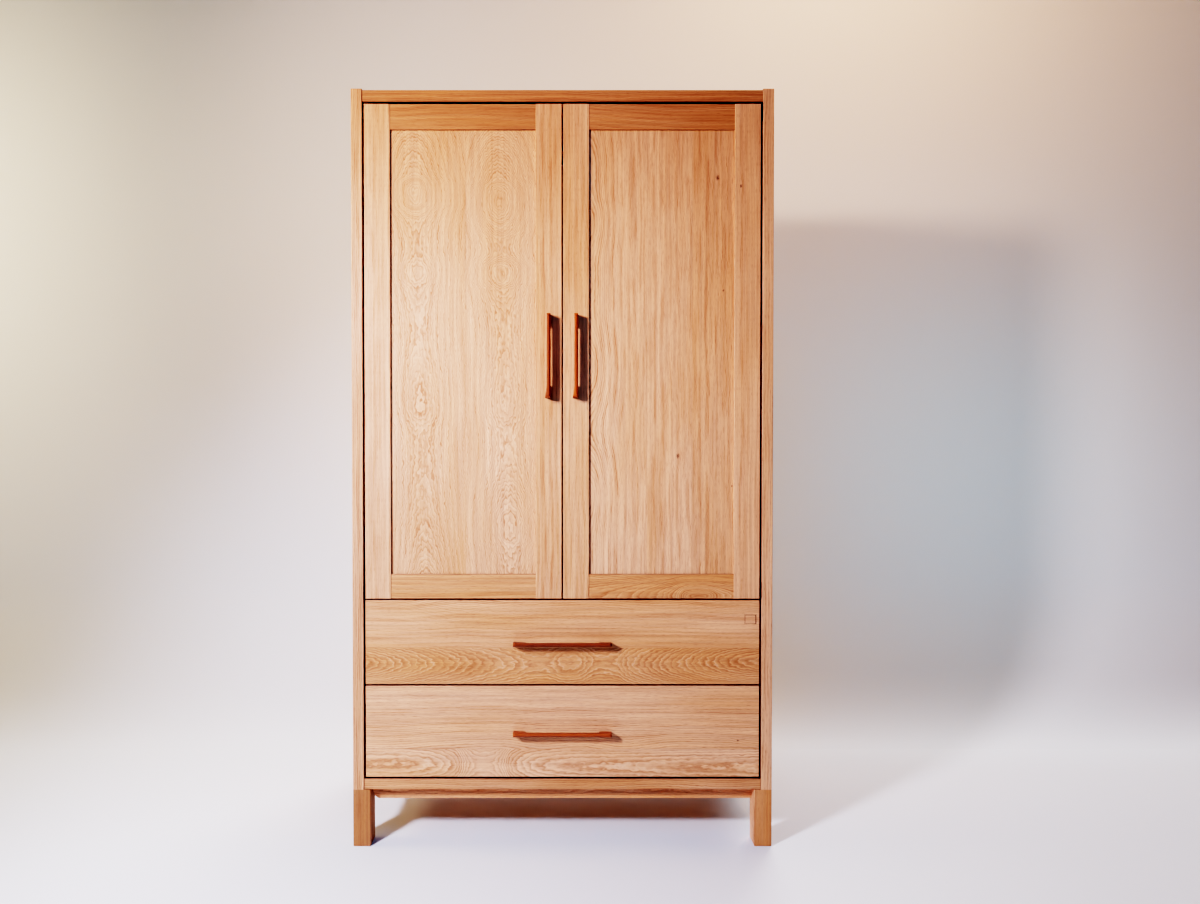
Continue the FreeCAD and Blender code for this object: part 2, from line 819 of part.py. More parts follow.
def tails(z, shoulder, tip):
    """The dovetails of a left side between two heights, as prisms that widen from shoulder to tip."""
    x = drawer_side_x()
    pitch = (z[1] - z[0]) / tail_count
    flare = abs(tip - shoulder) * tail_slope
    prisms = []
    for number in range(tail_count):
        middle = z[0] + pitch * (number + 0.5)
        wide = (pitch - pin_width) / 2 + flare / 2
        narrow = wide - flare
        outline = [
            Vector(x[0], shoulder, middle - narrow),
            Vector(x[0], tip, middle - wide),
            Vector(x[0], tip, middle + wide),
            Vector(x[0], shoulder, middle + narrow),
        ]
        face = Part.Face(Part.makePolygon(outline + outline[:1]))
        prisms.append(face.extrude(Vector(drawer_side_thickness, 0, 0)))
    return prisms


def front_tails(front_z):
    """Half-blind dovetails of the left side in the drawer's front."""
    return tails(drawer_side_z(front_z), front_back_y, face_y + front_lap)


def rear_pins(front_z):
    """Pins of the drawer's back that show in the left side: what the through dovetails leave between them."""
    y = drawer_back_y()
    z = drawer_back_z(front_z)
    zone = block(drawer_side_x(), y, z)
    return without(zone, tails(z, y[0], y[1]))


def drawer_front(front_z):
    """Drawer front with blind dovetail sockets, the bottom's groove and the pull's holes."""
    edges = ["front left", "front right", "front top", "front bottom"]
    board = eased_block((door_outer_x, -door_outer_x), (face_y, front_back_y), front_z, arris_radius, edges)
    sockets = front_tails(front_z)
    sockets += [mirrored(socket) for socket in sockets]
    holes = [handle_screw_hole(at) for at in drawer_handle_screw_places(front_z)]
    slot = grown(*drawer_bottom_limits(front_z), joint_fit)
    return without(board, sockets + holes + [slot])


def drawer_left_side(front_z):
    """Dovetailed drawer side with the runner's groove outside and the bottom's groove inside."""
    z = drawer_side_z(front_z)
    board = block(drawer_side_x(), (front_back_y, drawer_back_y()[1]), z)
    board = board.fuse(front_tails(front_z)).removeSplitter()
    middle = (z[0] + z[1]) / 2
    half = runner_height / 2 + slide_clearance
    groove = block(
        (door_outer_x - overrun, door_outer_x + groove_depth),
        (front_back_y + groove_start, drawer_back_y()[1] + overrun),
        (middle - half, middle + half),
    )
    slot = grown(*drawer_bottom_limits(front_z), joint_fit)
    return without(board, [rear_pins(front_z), groove, slot])


def drawer_back(front_z):
    """Drawer back between the sides, with its dovetail pins."""
    inner = -drawer_side_x()[1]
    board = block((-inner, inner), drawer_back_y(), drawer_back_z(front_z))
    pins = rear_pins(front_z)
    z = drawer_side_z(front_z)
    middle = (z[0] + z[1]) / 2
    half = runner_height / 2 + slide_clearance
    reach = inner_half + overrun
    groove = block((-reach, door_outer_x + groove_depth), drawer_back_y(), (middle - half, middle + half))
    board = board.fuse([pins, mirrored(pins)]).removeSplitter()
    return without(board, [groove, mirrored(groove)])


def drawer_bottom(front_z):
    """Thin drawer bottom."""
    return block(*drawer_bottom_limits(front_z))


def drawer_handle_screw_places(front_z):
    """Points on the back of a drawer front where the pull's screws enter its leaning posts."""
    reach = drawer_handle_length / 2 - handle_post_length / 2
    z = (front_z[0] + front_z[1]) / 2 - drawer_handle_lean * handle_screw_lean_share
    return [Vector(shift, front_back_y, z) for shift in (-reach, reach)]


def drawer_handle(front_z):
    """Level pull in the middle of a drawer front."""
    handle = pull(drawer_handle_length, drawer_handle_flare, drawer_handle_lean)
    handle.translate(Vector(0, face_y, (front_z[0] + front_z[1]) / 2))
    return without(handle, [handle_screw_hole(at) for at in drawer_handle_screw_places(front_z)])


def left_runner(front_z):
    """Wooden runner on the case side that a drawer hangs on."""
    x, y, z = runner_limits(front_z)
    edges = ["front right", "right top", "right bottom"]
    runner = eased_block(x, y, z, arris_radius, edges)
    holes = [screw_hole(at, way, runner_screw_length) for at, way in runner_screw_places(front_z)]
    return without(runner, holes)


# Hanging rail

def hanging_rail():
    """Steel tube between the two sockets."""
    start = -inner_half + socket_flange_thickness + rail_end_play
    length = -start * 2
    tube = Part.makeCylinder(rail_radius, length, Vector(start, rail_y, rail_z), X)
    return tube.cut(Part.makeCylinder(rail_radius - rail_wall, length, Vector(start, rail_y, rail_z), X))


def left_rail_socket():
    """Round flange with a cup that holds the rail's end."""
    wall = Vector(-inner_half, rail_y, rail_z)
    floor_of_cup = wall + X * socket_flange_thickness
    flange = Part.makeCylinder(socket_flange_radius, socket_flange_thickness, wall, X)
    cup_radius = rail_radius + socket_fit + socket_cup_wall
    cup = Part.makeCylinder(cup_radius, socket_flange_thickness + socket_cup_length, wall, X)
    hollow = Part.makeCylinder(rail_radius + socket_fit, socket_cup_length + overrun, floor_of_cup, X)
    body = flange.fuse(cup).removeSplitter().cut(hollow)
    return without(body, [screw_hole(at, way, fitting_screw_length) for at, way in socket_screw_places()])


# Fasteners, each kind in one group

def fitting_screws():
    """Wood screws of the pivots, sockets, runners and catches, on both sides."""
    side, catch = fitting_screws_of_left_side()
    screws = [wood_screw(*place) for place in side + catch]
    return screws + [mirrored(screw) for screw in screws]


def back_panel_screws():
    """Wood screws of the back panel."""
    return [wood_screw(at, way, back_screw_length) for at, way in back_screw_places()]


def apron_screws():
    """Long screws from the aprons into the bottom board."""
    sizes = (apron_screw_length, apron_screw_radius, apron_screw_head_radius)
    return [wood_screw(at, way, *sizes) for at, way in apron_screw_places()]


def dowels():
    """All the dowels of the case and legs."""
    left = [dowel(at, direction) for at, direction in case_dowel_places()]
    return left + [mirrored(pin) for pin in left]


def case_nodes():
    """The pieces of the case, its leg frame and its fixed fittings."""
    side = left_side()
    leg = front_left_leg()
    side_rail = left_apron()
    brackets = left_pivot_brackets()
    catch = left_catch()
    socket = left_rail_socket()
    nodes = {
        "left_side": side,
        "right_side": mirrored(side),
        "top_board": top_board(),
        "fixed_shelf": fixed_shelf(),
        "bottom_board": bottom_board(),
        "back_panel": back_panel(),
        "front_left_leg": leg,
        "front_right_leg": mirrored(leg),
        "rear_left_leg": to_rear(leg),
        "rear_right_leg": to_rear(mirrored(leg)),
        "front_apron": front_apron(["left bottom"]),
        "rear_apron": to_rear(front_apron([])),
        "left_apron": side_rail,
        "right_apron": mirrored(side_rail),
        "hanging_rail": hanging_rail(),
        "left_rail_socket": socket,
        "right_rail_socket": mirrored(socket),
        "left_pivot_brackets": brackets,
        "right_pivot_brackets": [mirrored(bracket) for bracket in brackets],
        "door_catches": [catch, mirrored(catch)],
        "dowels": dowels(),
        "fitting_screws": fitting_screws(),
        "back_panel_screws": back_panel_screws(),
        "apron_screws": apron_screws(),
    }
    for name, front_z in (("lower", lower_z), ("upper", upper_z)):
        runner = left_runner(front_z)
        nodes[f"{name}_drawer_runners"] = [runner, mirrored(runner)]
    return nodes


def door_nodes():
    """The pieces of both doors."""
    bottom_rail_z, top_rail_z = door_rail_z()
    left = {
        "hinge_stile": [door_hinge_stile()],
        "meeting_stile": [door_meeting_stile()],
        "bottom_rail": [door_rail(bottom_rail_z)],
        "top_rail": [door_rail(top_rail_z)],
        "panel": [door_panel()],
        "handle": [door_handle()],
        "handle_screws": [handle_screw(at) for at in door_handle_screw_places()],
        "pivot_bushes": [pivot_bush(door_z[0], Z), pivot_bush(door_z[1], -Z)],
        "strike_plate": [strike_plate()],
    }
    nodes = {f"left_door_{name}": solids for name, solids in left.items()}
    for name, solids in left.items():
        nodes[f"right_door_{name}"] = [mirrored(solid) for solid in solids]
    nodes["right_door_handle"] = right_door_handle()
    return nodes


def drawer_nodes():
    """The pieces of both drawers."""
    nodes = {}
    for name, front_z in (("lower", lower_z), ("upper", upper_z)):
        side = drawer_left_side(front_z)
        nodes[f"{name}_drawer_front"] = drawer_front(front_z)
        nodes[f"{name}_drawer_left_side"] = side
        nodes[f"{name}_drawer_right_side"] = mirrored(side)
        nodes[f"{name}_drawer_back"] = drawer_back(front_z)
        nodes[f"{name}_drawer_bottom"] = drawer_bottom(front_z)
        nodes[f"{name}_drawer_handle"] = drawer_handle(front_z)
        nodes[f"{name}_drawer_handle_screws"] = [
            handle_screw(at) for at in drawer_handle_screw_places(front_z)
        ]
    return nodes


def export(nodes):
    """Writes one STEP file for each node, and reports what each one holds."""
    os.makedirs("parts", exist_ok=True)
    for name, made in sorted(nodes.items()):
        solids = [solid for shape in (made if isinstance(made, list) else [made]) for solid in shape.Solids]
        body = solids[0] if len(solids) == 1 else Part.makeCompound(solids)
        body.exportStep(f"parts/{name}.step")
        state = "valid" if all(solid.isValid() and solid.Volume > 0 for solid in solids) else "NOT VALID"
        print(f"{name:30s} {len(solids):3d} solids {body.Volume / 1000:10.1f} cm3 {state}")
    print(len(nodes), "nodes")


export({**case_nodes(), **door_nodes(), **drawer_nodes()})
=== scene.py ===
import logging
import math
from abc import ABC, abstractmethod
from dataclasses import dataclass, replace
from enum import Enum

import bmesh
import bpy
from mathutils import Color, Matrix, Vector


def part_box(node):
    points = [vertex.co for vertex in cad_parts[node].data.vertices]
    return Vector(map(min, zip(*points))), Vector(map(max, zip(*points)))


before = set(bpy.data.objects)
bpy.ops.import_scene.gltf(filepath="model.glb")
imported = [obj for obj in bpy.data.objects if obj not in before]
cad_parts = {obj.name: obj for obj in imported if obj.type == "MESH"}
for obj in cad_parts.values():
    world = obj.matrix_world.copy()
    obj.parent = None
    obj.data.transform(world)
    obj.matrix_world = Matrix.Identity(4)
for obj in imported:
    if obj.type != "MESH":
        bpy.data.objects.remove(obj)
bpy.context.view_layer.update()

log = logging.getLogger("wardrobe")

Colour = Point = Waves = tuple[float, float, float]
Span = tuple[float, float]
Socket = bpy.types.NodeSocket
Value = Socket | float | Point


class Grain(Enum):
    """How a board lies: the axes across its face, into its face and along its grain."""

    UPRIGHT_FRONT = "XYZ"
    UPRIGHT_SIDE = "YXZ"
    ACROSS_FRONT = "ZYX"
    ACROSS_LEVEL = "YZX"
    DEPTH_SIDE = "ZXY"


class Facing(Enum):
    """The way that the surfaces with painted shade in a gap face."""

    LEFT = (-1.0, 0.0, 0.0)
    RIGHT = (1.0, 0.0, 0.0)
    DOWN = (0.0, 0.0, -1.0)
    UP = (0.0, 0.0, 1.0)


class Brushing(Enum):
    """How a metal surface was worked: waves per metre along X, Y and Z."""

    ALONG_X = (30.0, 2600.0, 2600.0)
    PLATED = (700.0, 700.0, 700.0)
    TURNED = (1500.0, 1500.0, 60.0)


class Side(Enum):
    """The two sides of the wardrobe, seen from the front."""

    LEFT = "left"
    RIGHT = "right"


class Row(Enum):
    """The two rows of drawers."""

    UPPER = "upper"
    LOWER = "lower"


def near(node: str, axis: str) -> float:
    """Where a piece starts along an axis of the frame."""
    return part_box(node)[0]["XYZ".index(axis)]


def far(node: str, axis: str) -> float:
    """Where a piece ends along an axis of the frame."""
    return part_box(node)[1]["XYZ".index(axis)]


def from_hex(code: str) -> Colour:
    """The linear colour that nodes take, for a screen colour's six hexadecimal digits."""
    return tuple(Color([part / 255 for part in bytes.fromhex(code)]).from_srgb_to_scene_linear())


class Wiring:
    """A node tree with short ways to add and join its nodes.

    Noise sways about its middle, and each step of a seed moves it on by the stride.
    """

    middle: float = 0.5
    stride: Point = (17.3, 29.1, 41.7)

    def __init__(self, tree: bpy.types.NodeTree) -> None:
        """Keeps the tree that the nodes go into."""
        self.tree = tree

    def feed(self, socket: Socket, value: Value) -> None:
        """Links an output to an input, or sets the input's own value.

        Args:
            socket: The input.
            value: An output, a number, a colour or a vector.
        """
        if isinstance(value, Socket):
            self.tree.links.new(value, socket)
        elif socket.type == "RGBA":
            socket.default_value = (*value, 1.0)
        else:
            socket.default_value = value

    def add(self, kind: str, inputs: dict[str, Value] | None = None, **settings: object) -> bpy.types.Node:
        """Adds a node.

        Args:
            kind: The node's type, without the words ShaderNode.
            inputs: Values or outputs for its inputs, by the input's name.
            settings: The node's own settings.

        Returns:
            The node.
        """
        node = self.tree.nodes.new("ShaderNode" + kind)
        for name, value in settings.items():
            setattr(node, name, value)
        for name, value in (inputs or {}).items():
            self.feed(node.inputs[name], value)
        return node

    def fill(self, kind: str, values: tuple[Value, ...], **settings: object) -> Socket:
        """Adds a node and feeds the inputs that it has in use, in their order.

        Args:
            kind: The node's type, without the words ShaderNode.
            values: Values or outputs for its first inputs.
            settings: The node's own settings.

        Returns:
            Its first output in use.
        """
        node = self.add(kind, **settings)
        for socket, value in zip((each for each in node.inputs if each.enabled), values):
            self.feed(socket, value)
        return next(each for each in node.outputs if each.enabled)

    def math(self, operation: str, *values: Value, clamp: bool = False) -> Socket:
        """Works a number out of others, and keeps it from 0 to 1 if clamp is set."""
        return self.fill("Math", values, operation=operation, use_clamp=clamp)

    def plus(self, first: Value, second: Value) -> Socket:
        """The sum of two numbers."""
        return self.math("ADD", first, second)

    def less(self, first: Value, second: Value) -> Socket:
        """The first number less the second."""
        return self.math("SUBTRACT", first, second)

    def times(self, first: Value, second: Value) -> Socket:
        """The product of two numbers."""
        return self.math("MULTIPLY", first, second)

    def raised(self, value: Value, by: Value, level: Value) -> Socket:
        """A level raised by so many times a number."""
        return self.math("MULTIPLY_ADD", value, by, level)

    def sway(self, noise: Value, by: Value, level: Value, clamp: bool = False) -> Socket:
        """A level that sways both ways with a noise from 0 to 1."""
        return self.math("MULTIPLY_ADD", self.less(noise, self.middle), by, level, clamp=clamp)

    def vector(self, operation: str, *values: Value) -> Socket:
        """Works a vector, or its length, out of others."""
        return self.fill("VectorMath", values, operation=operation)

    def scaled(self, vector: Value, by: Value) -> Socket:
        """A vector or colour times a number."""
        return self.vector("SCALE", vector, by)

    def mix(self, factor: Value, first: Value, second: Value) -> Socket:
        """The colour between two others, the second where the factor is 1."""
        return self.fill("Mix", (factor, first, second), data_type="RGBA")

    def between(self, factor: Value, first: Value, second: Value) -> Socket:
        """The number between two others, the second where the factor is 1."""
        return self.fill("Mix", (factor, first, second), data_type="FLOAT")

    def step(self, value: Value, low: Value, high: Value, before: Value = 0.0, after: Value = 1.0) -> Socket:
        """Eases from one level to another while a value runs from low to high."""
        return self.fill("MapRange", (value, low, high, before, after), interpolation_type="SMOOTHSTEP")

    def fall(self, value: Value, low: Value, high: Value) -> Socket:
        """Eases from 1 down to 0 while a value runs from low to high."""
        return self.step(value, low, high, 1.0, 0.0)

    def noise(self, place: Value, waves: Waves, seed: Value = 0.0, detail: float = 1.0) -> Socket:
        """Noise from 0 to 1 with its own waves per metre three ways. Another seed gives other noise."""
        moved = self.vector("MULTIPLY_ADD", place, waves, self.scaled(self.stride, seed))
        return self.add("TexNoise", {"Vector": moved, "Scale": 1.0, "Detail": detail}).outputs[0]

    def ripple(self, place: Value, waves: float, seed: Value) -> Socket:
        """Noise from 0 to 1 along a line, with so many waves per metre."""
        inputs = {"W": self.raised(place, waves, seed), "Scale": 1.0, "Detail": 1.0}
        return self.add("TexNoise", inputs, noise_dimensions="1D").outputs[0]

    def chance(self, number: Value) -> bpy.types.bpy_prop_collection:
        """The value and the colour that a number always draws, as a node's outputs."""
        return self.add("TexWhiteNoise", {"W": number}, noise_dimensions="1D").outputs

    def split(self, vector: Value) -> tuple[Socket, Socket, Socket]:
        """A vector's three numbers."""
        return tuple(self.add("SeparateXYZ", {"Vector": vector}).outputs)

    def join(self, x: Value, y: Value, z: Value) -> Socket:
        """The vector of three numbers."""
        return self.fill("CombineXYZ", (x, y, z))

    def relief(self, height: Socket, strength: float, distance: float) -> Socket:
        """The normal of a relief that is a distance in metres deep."""
        return self.add("Bump", {"Height": height, "Strength": strength, "Distance": distance}).outputs[0]

    def curve(self, value: Value, points: tuple[Span, ...]) -> Socket:
        """Reads a given curve.

        Args:
            value: The place along the curve, from 0 to 1.
            points: The curve's points in their order, each from 0 to 1 both ways.

        Returns:
            The curve's height there.
        """
        node = self.add("FloatCurve", {"Value": value})
        line = node.mapping.curves[0]
        for place in points[len(line.points):]:
            line.points.new(*place)
        for point, place in zip(line.points, points):
            point.location = place
        node.mapping.update()
        return node.outputs[0]


class Group:
    """A shader node group that is made once and placed in many materials."""

    def __init__(self, name: str, takes: dict[str, str], gives: dict[str, str]) -> None:
        """Makes the group, its sockets and its two ends.

        Args:
            name: The group's name.
            takes: The names of its inputs with commas between them, by kind.
            gives: The names of its outputs, in the same way.
        """
        self.tree = bpy.data.node_groups.new(name, "ShaderNodeTree")
        for way, kinds in (("INPUT", takes), ("OUTPUT", gives)):
            for kind, labels in kinds.items():
                for label in labels.split(", "):
                    self.tree.interface.new_socket(label, in_out=way, socket_type="NodeSocket" + kind)
        self.wiring = Wiring(self.tree)
        self.take = self.tree.nodes.new("NodeGroupInput").outputs
        self.end = self.tree.nodes.new("NodeGroupOutput").inputs

    def give(self, **values: Value) -> None:
        """Feeds the group's outputs, by name."""
        for name, value in values.items():
            self.wiring.feed(self.end[name], value)

    def place(self, wiring: Wiring, values: dict[str, Value]) -> bpy.types.bpy_prop_collection:
        """Places the group in another tree.

        Args:
            wiring: The tree that it goes into.
            values: Values or outputs for all its inputs, by name. Other names are left out.

        Returns:
            The outputs of the group's node.
        """
        node = wiring.add("Group", node_tree=self.tree)
        for socket in node.inputs:
            wiring.feed(socket, values[socket.name])
        return node.outputs


@dataclass(frozen=True)
class GrowthRings:
    """Growth rings, pores and fibres of one board, from the distance to the tree's heart.

    Waves are per metre across, into and along the board. A year's growth runs from 0 to 1, and its dark
    early wood and pale late wood each have a span in which they start and one in which they end.
    """

    roll: float = 3.1
    waver: Waves = (9.0, 9.0, 3.2)
    jag: Waves = (130.0, 130.0, 55.0)
    cloud: Waves = (14.0, 14.0, 2.6)
    fibre: Waves = (170.0, 170.0, 4.0)
    fibre_detail: float = 3.0
    early: Span = (0.0, 0.16)
    early_end: Span = (0.45, 0.8)
    late: Span = (0.7, 0.86)
    late_end: Span = (0.88, 1.0)
    late_shade: float = -0.3
    year_shade: Span = (0.35, 0.9)
    breaks: Waves = (95.0, 95.0, 11.0)
    break_limits: Span = (0.38, 0.62)
    bands: float = 110.0
    band_limits: Span = (0.35, 0.7)
    pores: Waves = (1250.0, 1250.0, 75.0)
    pore_limits: Span = (0.56, 0.72)
    late_pores: float = 0.3

    def make(self) -> Group:
        """Makes the group.

        Returns:
            The group.
        """
        numbers = "Heart, Lean, Depth, Roll, Ring, Waver, Jag, Breaks, Bands, Swell, Seed"
        group = Group("Growth rings", {"Vector": "Place", "Float": numbers},
                      {"Vector": "Marks", "Float": "Cloud"})
        w, take = group.wiring, group.take
        place, seed = take["Place"], take["Seed"]
        across, into, along = w.split(place)
        depth = w.plus(w.sway(w.ripple(along, self.roll, seed), take["Roll"], take["Depth"]), into)
        offset = w.less(across, w.raised(take["Lean"], along, take["Heart"]))
        radius = w.vector("LENGTH", w.join(offset, depth, 0.0))
        radius = w.sway(w.noise(place, self.waver, seed), take["Waver"], radius)
        radius = w.sway(w.noise(place, self.jag, seed), take["Jag"], radius)
        radius = w.plus(radius, take["Swell"])
        turns = w.math("DIVIDE", radius, take["Ring"])
        part = w.math("FRACT", turns)
        year = w.chance(w.plus(w.math("FLOOR", turns), seed))["Value"]
        ends = w.between(year, *self.early_end)
        early = w.times(w.step(part, *self.early), w.fall(part, self.early[1], ends))
        late = w.times(w.step(part, *self.late), w.fall(part, *self.late_end))
        gaps = w.step(w.noise(place, self.breaks, seed), *self.break_limits)
        kept = w.between(take["Breaks"], 1.0, gaps)
        band = w.step(w.ripple(radius, self.bands, seed), *self.band_limits)
        rings = w.times(w.times(early, kept), w.between(year, *self.year_shade))
        rings = w.raised(w.times(band, kept), take["Bands"], rings)
        rings = w.raised(w.times(late, kept), self.late_shade, rings)
        grit = w.step(w.noise(place, self.pores, seed, detail=0.0), *self.pore_limits)
        pores = w.times(grit, w.between(early, self.late_pores, 1.0))
        fibre = w.noise(place, self.fibre, seed, self.fibre_detail)
        group.give(Marks=w.join(rings, pores, fibre), Cloud=w.noise(place, self.cloud, seed))
        return group


@dataclass(frozen=True)
class GluedStaves:
    """Splits a wide board into glued staves, each from another place in the tree.

    A stave's heart lies up to half the spread from its middle, in stave widths. Its place in the tree
    lies up to sink deeper and up to slide further along, in metres.
    """

    spread: float = 1.5
    sink: float = 0.05
    slide: float = 5.3
    reseed: float = 9.0
    seam: Span = (0.0001, 0.0007)

    def make(self) -> Group:
        """Makes the group.

        Returns:
            The group.
        """
        group = Group("Glued staves", {"Vector": "Place", "Float": "Width, Start, Seed"},
                      {"Vector": "Place", "Float": "Seed, Tone, Seam"})
        w, take = group.wiring, group.take
        across, into, along = w.split(take["Place"])
        turns = w.math("DIVIDE", w.less(across, take["Start"]), take["Width"])
        number = w.plus(w.math("FLOOR", turns), take["Seed"])
        first, second, third = w.split(w.chance(number)["Color"])
        part = w.less(w.math("FRACT", turns), w.sway(first, self.spread, w.middle))
        place = w.join(w.times(part, take["Width"]), w.raised(second, self.sink, into),
                       w.raised(second, self.slide, along))
        edge = w.times(w.math("PINGPONG", turns, w.middle), take["Width"])
        seed = w.raised(first, self.reseed, take["Seed"])
        group.give(Place=place, Seed=seed, Tone=third, Seam=w.fall(edge, *self.seam))
        return group


@dataclass(frozen=True)
class PinKnot:
    """A pin knot: its dark eye, and how far it pushes the rings aside. Spans are in knot sizes."""

    squeeze: float = 0.62
    ragged: Waves = (420.0, 420.0, 260.0)
    raggedness: float = 0.9
    eye: Span = (0.7, 1.7)
    swell: Span = (0.0, 7.0)

    def make(self) -> Group:
        """Makes the group.

        Returns:
            The group.
        """
        group = Group("Pin knot", {"Vector": "Place", "Float": "Across, Along, Size"},
                      {"Float": "Dark, Swell"})
        w, take = group.wiring, group.take
        across, _, along = w.split(take["Place"])
        side = w.less(across, take["Across"])
        up = w.times(w.less(along, take["Along"]), self.squeeze)
        away = w.math("DIVIDE", w.vector("LENGTH", w.join(side, up, 0.0)), take["Size"])
        ragged = w.raised(w.noise(take["Place"], self.ragged, detail=0.0), self.raggedness, away)
        group.give(Dark=w.fall(ragged, *self.eye), Swell=w.times(w.fall(away, *self.swell), take["Size"]))
        return group


@dataclass(frozen=True)
class SetInPatch:
    """A set-in patch: the dark line round a piece let into the face, fainter at all but its far end."""

    ragged: Waves = (300.0, 300.0, 300.0)
    raggedness: float = -0.0016
    line: Span = (-0.0002, 0.0014)
    far_end: Span = (0.7, 0.95)
    faint: float = 0.55

    def make(self) -> Group:
        """Makes the group.

        Returns:
            The group.
        """
        numbers = "Across, Along, Half across, Half along"
        group = Group("Set-in patch", {"Vector": "Place", "Float": numbers}, {"Float": "Dark"})
        w, take = group.wiring, group.take
        across, _, along = w.split(take["Place"])
        forth = w.less(along, take["Along"])
        side = w.less(w.math("ABSOLUTE", w.less(across, take["Across"])), take["Half across"])
        up = w.less(w.math("ABSOLUTE", forth), take["Half along"])
        edge = w.math("ABSOLUTE", w.math("MAXIMUM", side, up))
        ragged = w.raised(w.noise(take["Place"], self.ragged, detail=0.0), self.raggedness, edge)
        shade = w.step(w.math("DIVIDE", forth, take["Half along"]), *self.far_end, self.faint)
        group.give(Dark=w.times(w.fall(ragged, *self.line), shade))
        return group


@dataclass(frozen=True)
class TimberColour:
    """Lays rings, pores, fibres, knots and end grain over a timber's own colours."""

    warmth: float = 1.1
    streak: float = 0.85
    pore: float = 0.5
    end: float = 0.45
    knot: float = 0.85
    knot_shade: float = 0.45
    dull: Span = (0.46, 0.54)
    pore_dull: float = 0.2
    end_dull: float = 0.2
    ring_relief: float = 0.35
    fibre_relief: float = 0.4

    def make(self) -> Group:
        """Makes the group.

        Returns:
            The group.
        """
        takes = {"Vector": "Marks", "Float": "Cloud, Amber, Shade, Dark, End, Strength",
                 "Color": "Light, Pale, Warm, Ring, Pore"}
        group = Group("Timber colour", takes, {"Color": "Colour", "Float": "Roughness, Height"})
        w, take = group.wiring, group.take
        rings, pores, fibre = w.split(take["Marks"])
        warmth = w.sway(take["Cloud"], self.warmth, take["Amber"], clamp=True)
        colour = w.scaled(w.mix(warmth, take["Pale"], take["Warm"]), w.sway(fibre, self.streak, 1.0))
        layers = (
            (w.times(w.math("MINIMUM", rings, 0.0), -1.0), take["Light"]),
            (w.math("MULTIPLY", rings, take["Strength"], clamp=True), take["Ring"]),
            (w.times(pores, self.pore), take["Pore"]),
            (w.times(take["End"], self.end), take["Pore"]),
            (w.times(take["Dark"], self.knot), w.scaled(take["Pore"], self.knot_shade)),
        )
        for strength, tone in layers:
            colour = w.mix(strength, colour, tone)
        dull = w.raised(pores, self.pore_dull, w.between(rings, *self.dull))
        roughness = w.math("MULTIPLY_ADD", take["End"], self.end_dull, dull, clamp=True)
        height = w.less(w.times(fibre, self.fibre_relief), w.raised(rings, self.ring_relief, pores))
        group.give(Colour=w.scaled(colour, take["Shade"]), Roughness=roughness, Height=height)
        return group


class Timbercraft:
    """The node groups that every timber shares, made once."""

    def __init__(self) -> None:
        """Makes the groups."""
        self.rings = GrowthRings().make()
        self.staves = GluedStaves().make()
        self.knot = PinKnot().make()
        self.patch = SetInPatch().make()
        self.colour = TimberColour().make()


@dataclass(frozen=True)
class Board:
    """How one board was sawn out of the tree, in metres.

    The tree's heart lies at heart across the board and leans over by lean for each metre along it. It
    lies depth under the face, or, where arches are drawn, as deep as they say: their points run along
    the span of the board and from the first to the last of reach. Roll, waver and jag are how far the
    rings stray, and ring is a year's growth. Breaks, bands, amber and shade are how broken, banded, warm
    and light the board is.
    """

    heart: float = 0.0
    lean: float = 0.0
    depth: float = 0.06
    roll: float = 0.02
    arches: tuple[Span, ...] = ()
    span: Span = (0.0, 1.0)
    reach: Span = (0.02, 0.12)
    ring: float = 0.003
    waver: float = 0.006
    jag: float = 0.002
    breaks: float = 0.5
    bands: float = 0.3
    seed: float = 1.0
    amber: float = 0.3
    shade: float = 1.0


@dataclass(frozen=True)
class Knot:
    """A pin knot's place across and along the board, and its size, in metres."""

    across: float
    along: float
    size: float


@dataclass(frozen=True)
class Patch:
    """A set-in patch's middle across and along the board, and half its size both ways, in metres."""

    across: float
    along: float
    half_across: float
    half_along: float


@dataclass(frozen=True)
class Tones:
    """The colours of a timber, and how strongly its rings show."""

    light: Colour
    pale: Colour
    warm: Colour
    ring: Colour
    pore: Colour
    strength: float


def tones(codes: str, strength: float = 0.8) -> Tones:
    """A timber's tones, from five screen colours and how strongly the rings show."""
    return Tones(*(from_hex(code) for code in codes.split()), strength)


def labelled(record: Board | Knot | Patch | Tones) -> dict[str, Value]:
    """A record's values, under the names that the groups' inputs have."""
    return {name.replace("_", " ").capitalize(): value for name, value in vars(record).items()}


OAK = tones("F2C7A4 DEA580 C4824F 9E5E32 6E3E20")
PULL = tones("B4622A A25219 8A3C10 5E260A 2E1206")
BOX = tones("EDD2B0 E6C59C D9AE7C C49360 96693F", 0.4)
VENEER = tones("E9C8A2 DDB28A CC9C6C B07C4C 86582F", 0.45)
BEECH = tones("E6C29E DDB48A CE9C70 B98258 8A5A38", 0.3)
BLACK = (0.0, 0.0, 0.0)


class Material:
    """A new material with its shader, ready to be wired."""

    def __init__(self, name: str) -> None:
        """Makes the material.

        Args:
            name: The material's name.
        """
        self.material = bpy.data.materials.new(name)
        self.material.use_nodes = True
        self.material.node_tree.nodes.clear()
        self.wiring = Wiring(self.material.node_tree)
        self.shader = self.wiring.add("BsdfPrincipled")
        self.output = self.wiring.add("OutputMaterial", {"Surface": self.shader.outputs[0]})
        self.output.is_active_output = True
        self.space = self.wiring.add("TexCoord").outputs

    def feed(self, inputs: dict[str, Value]) -> None:
        """Feeds the shader's inputs, by name."""
        for name, value in inputs.items():
            self.wiring.feed(self.shader.inputs[name], value)


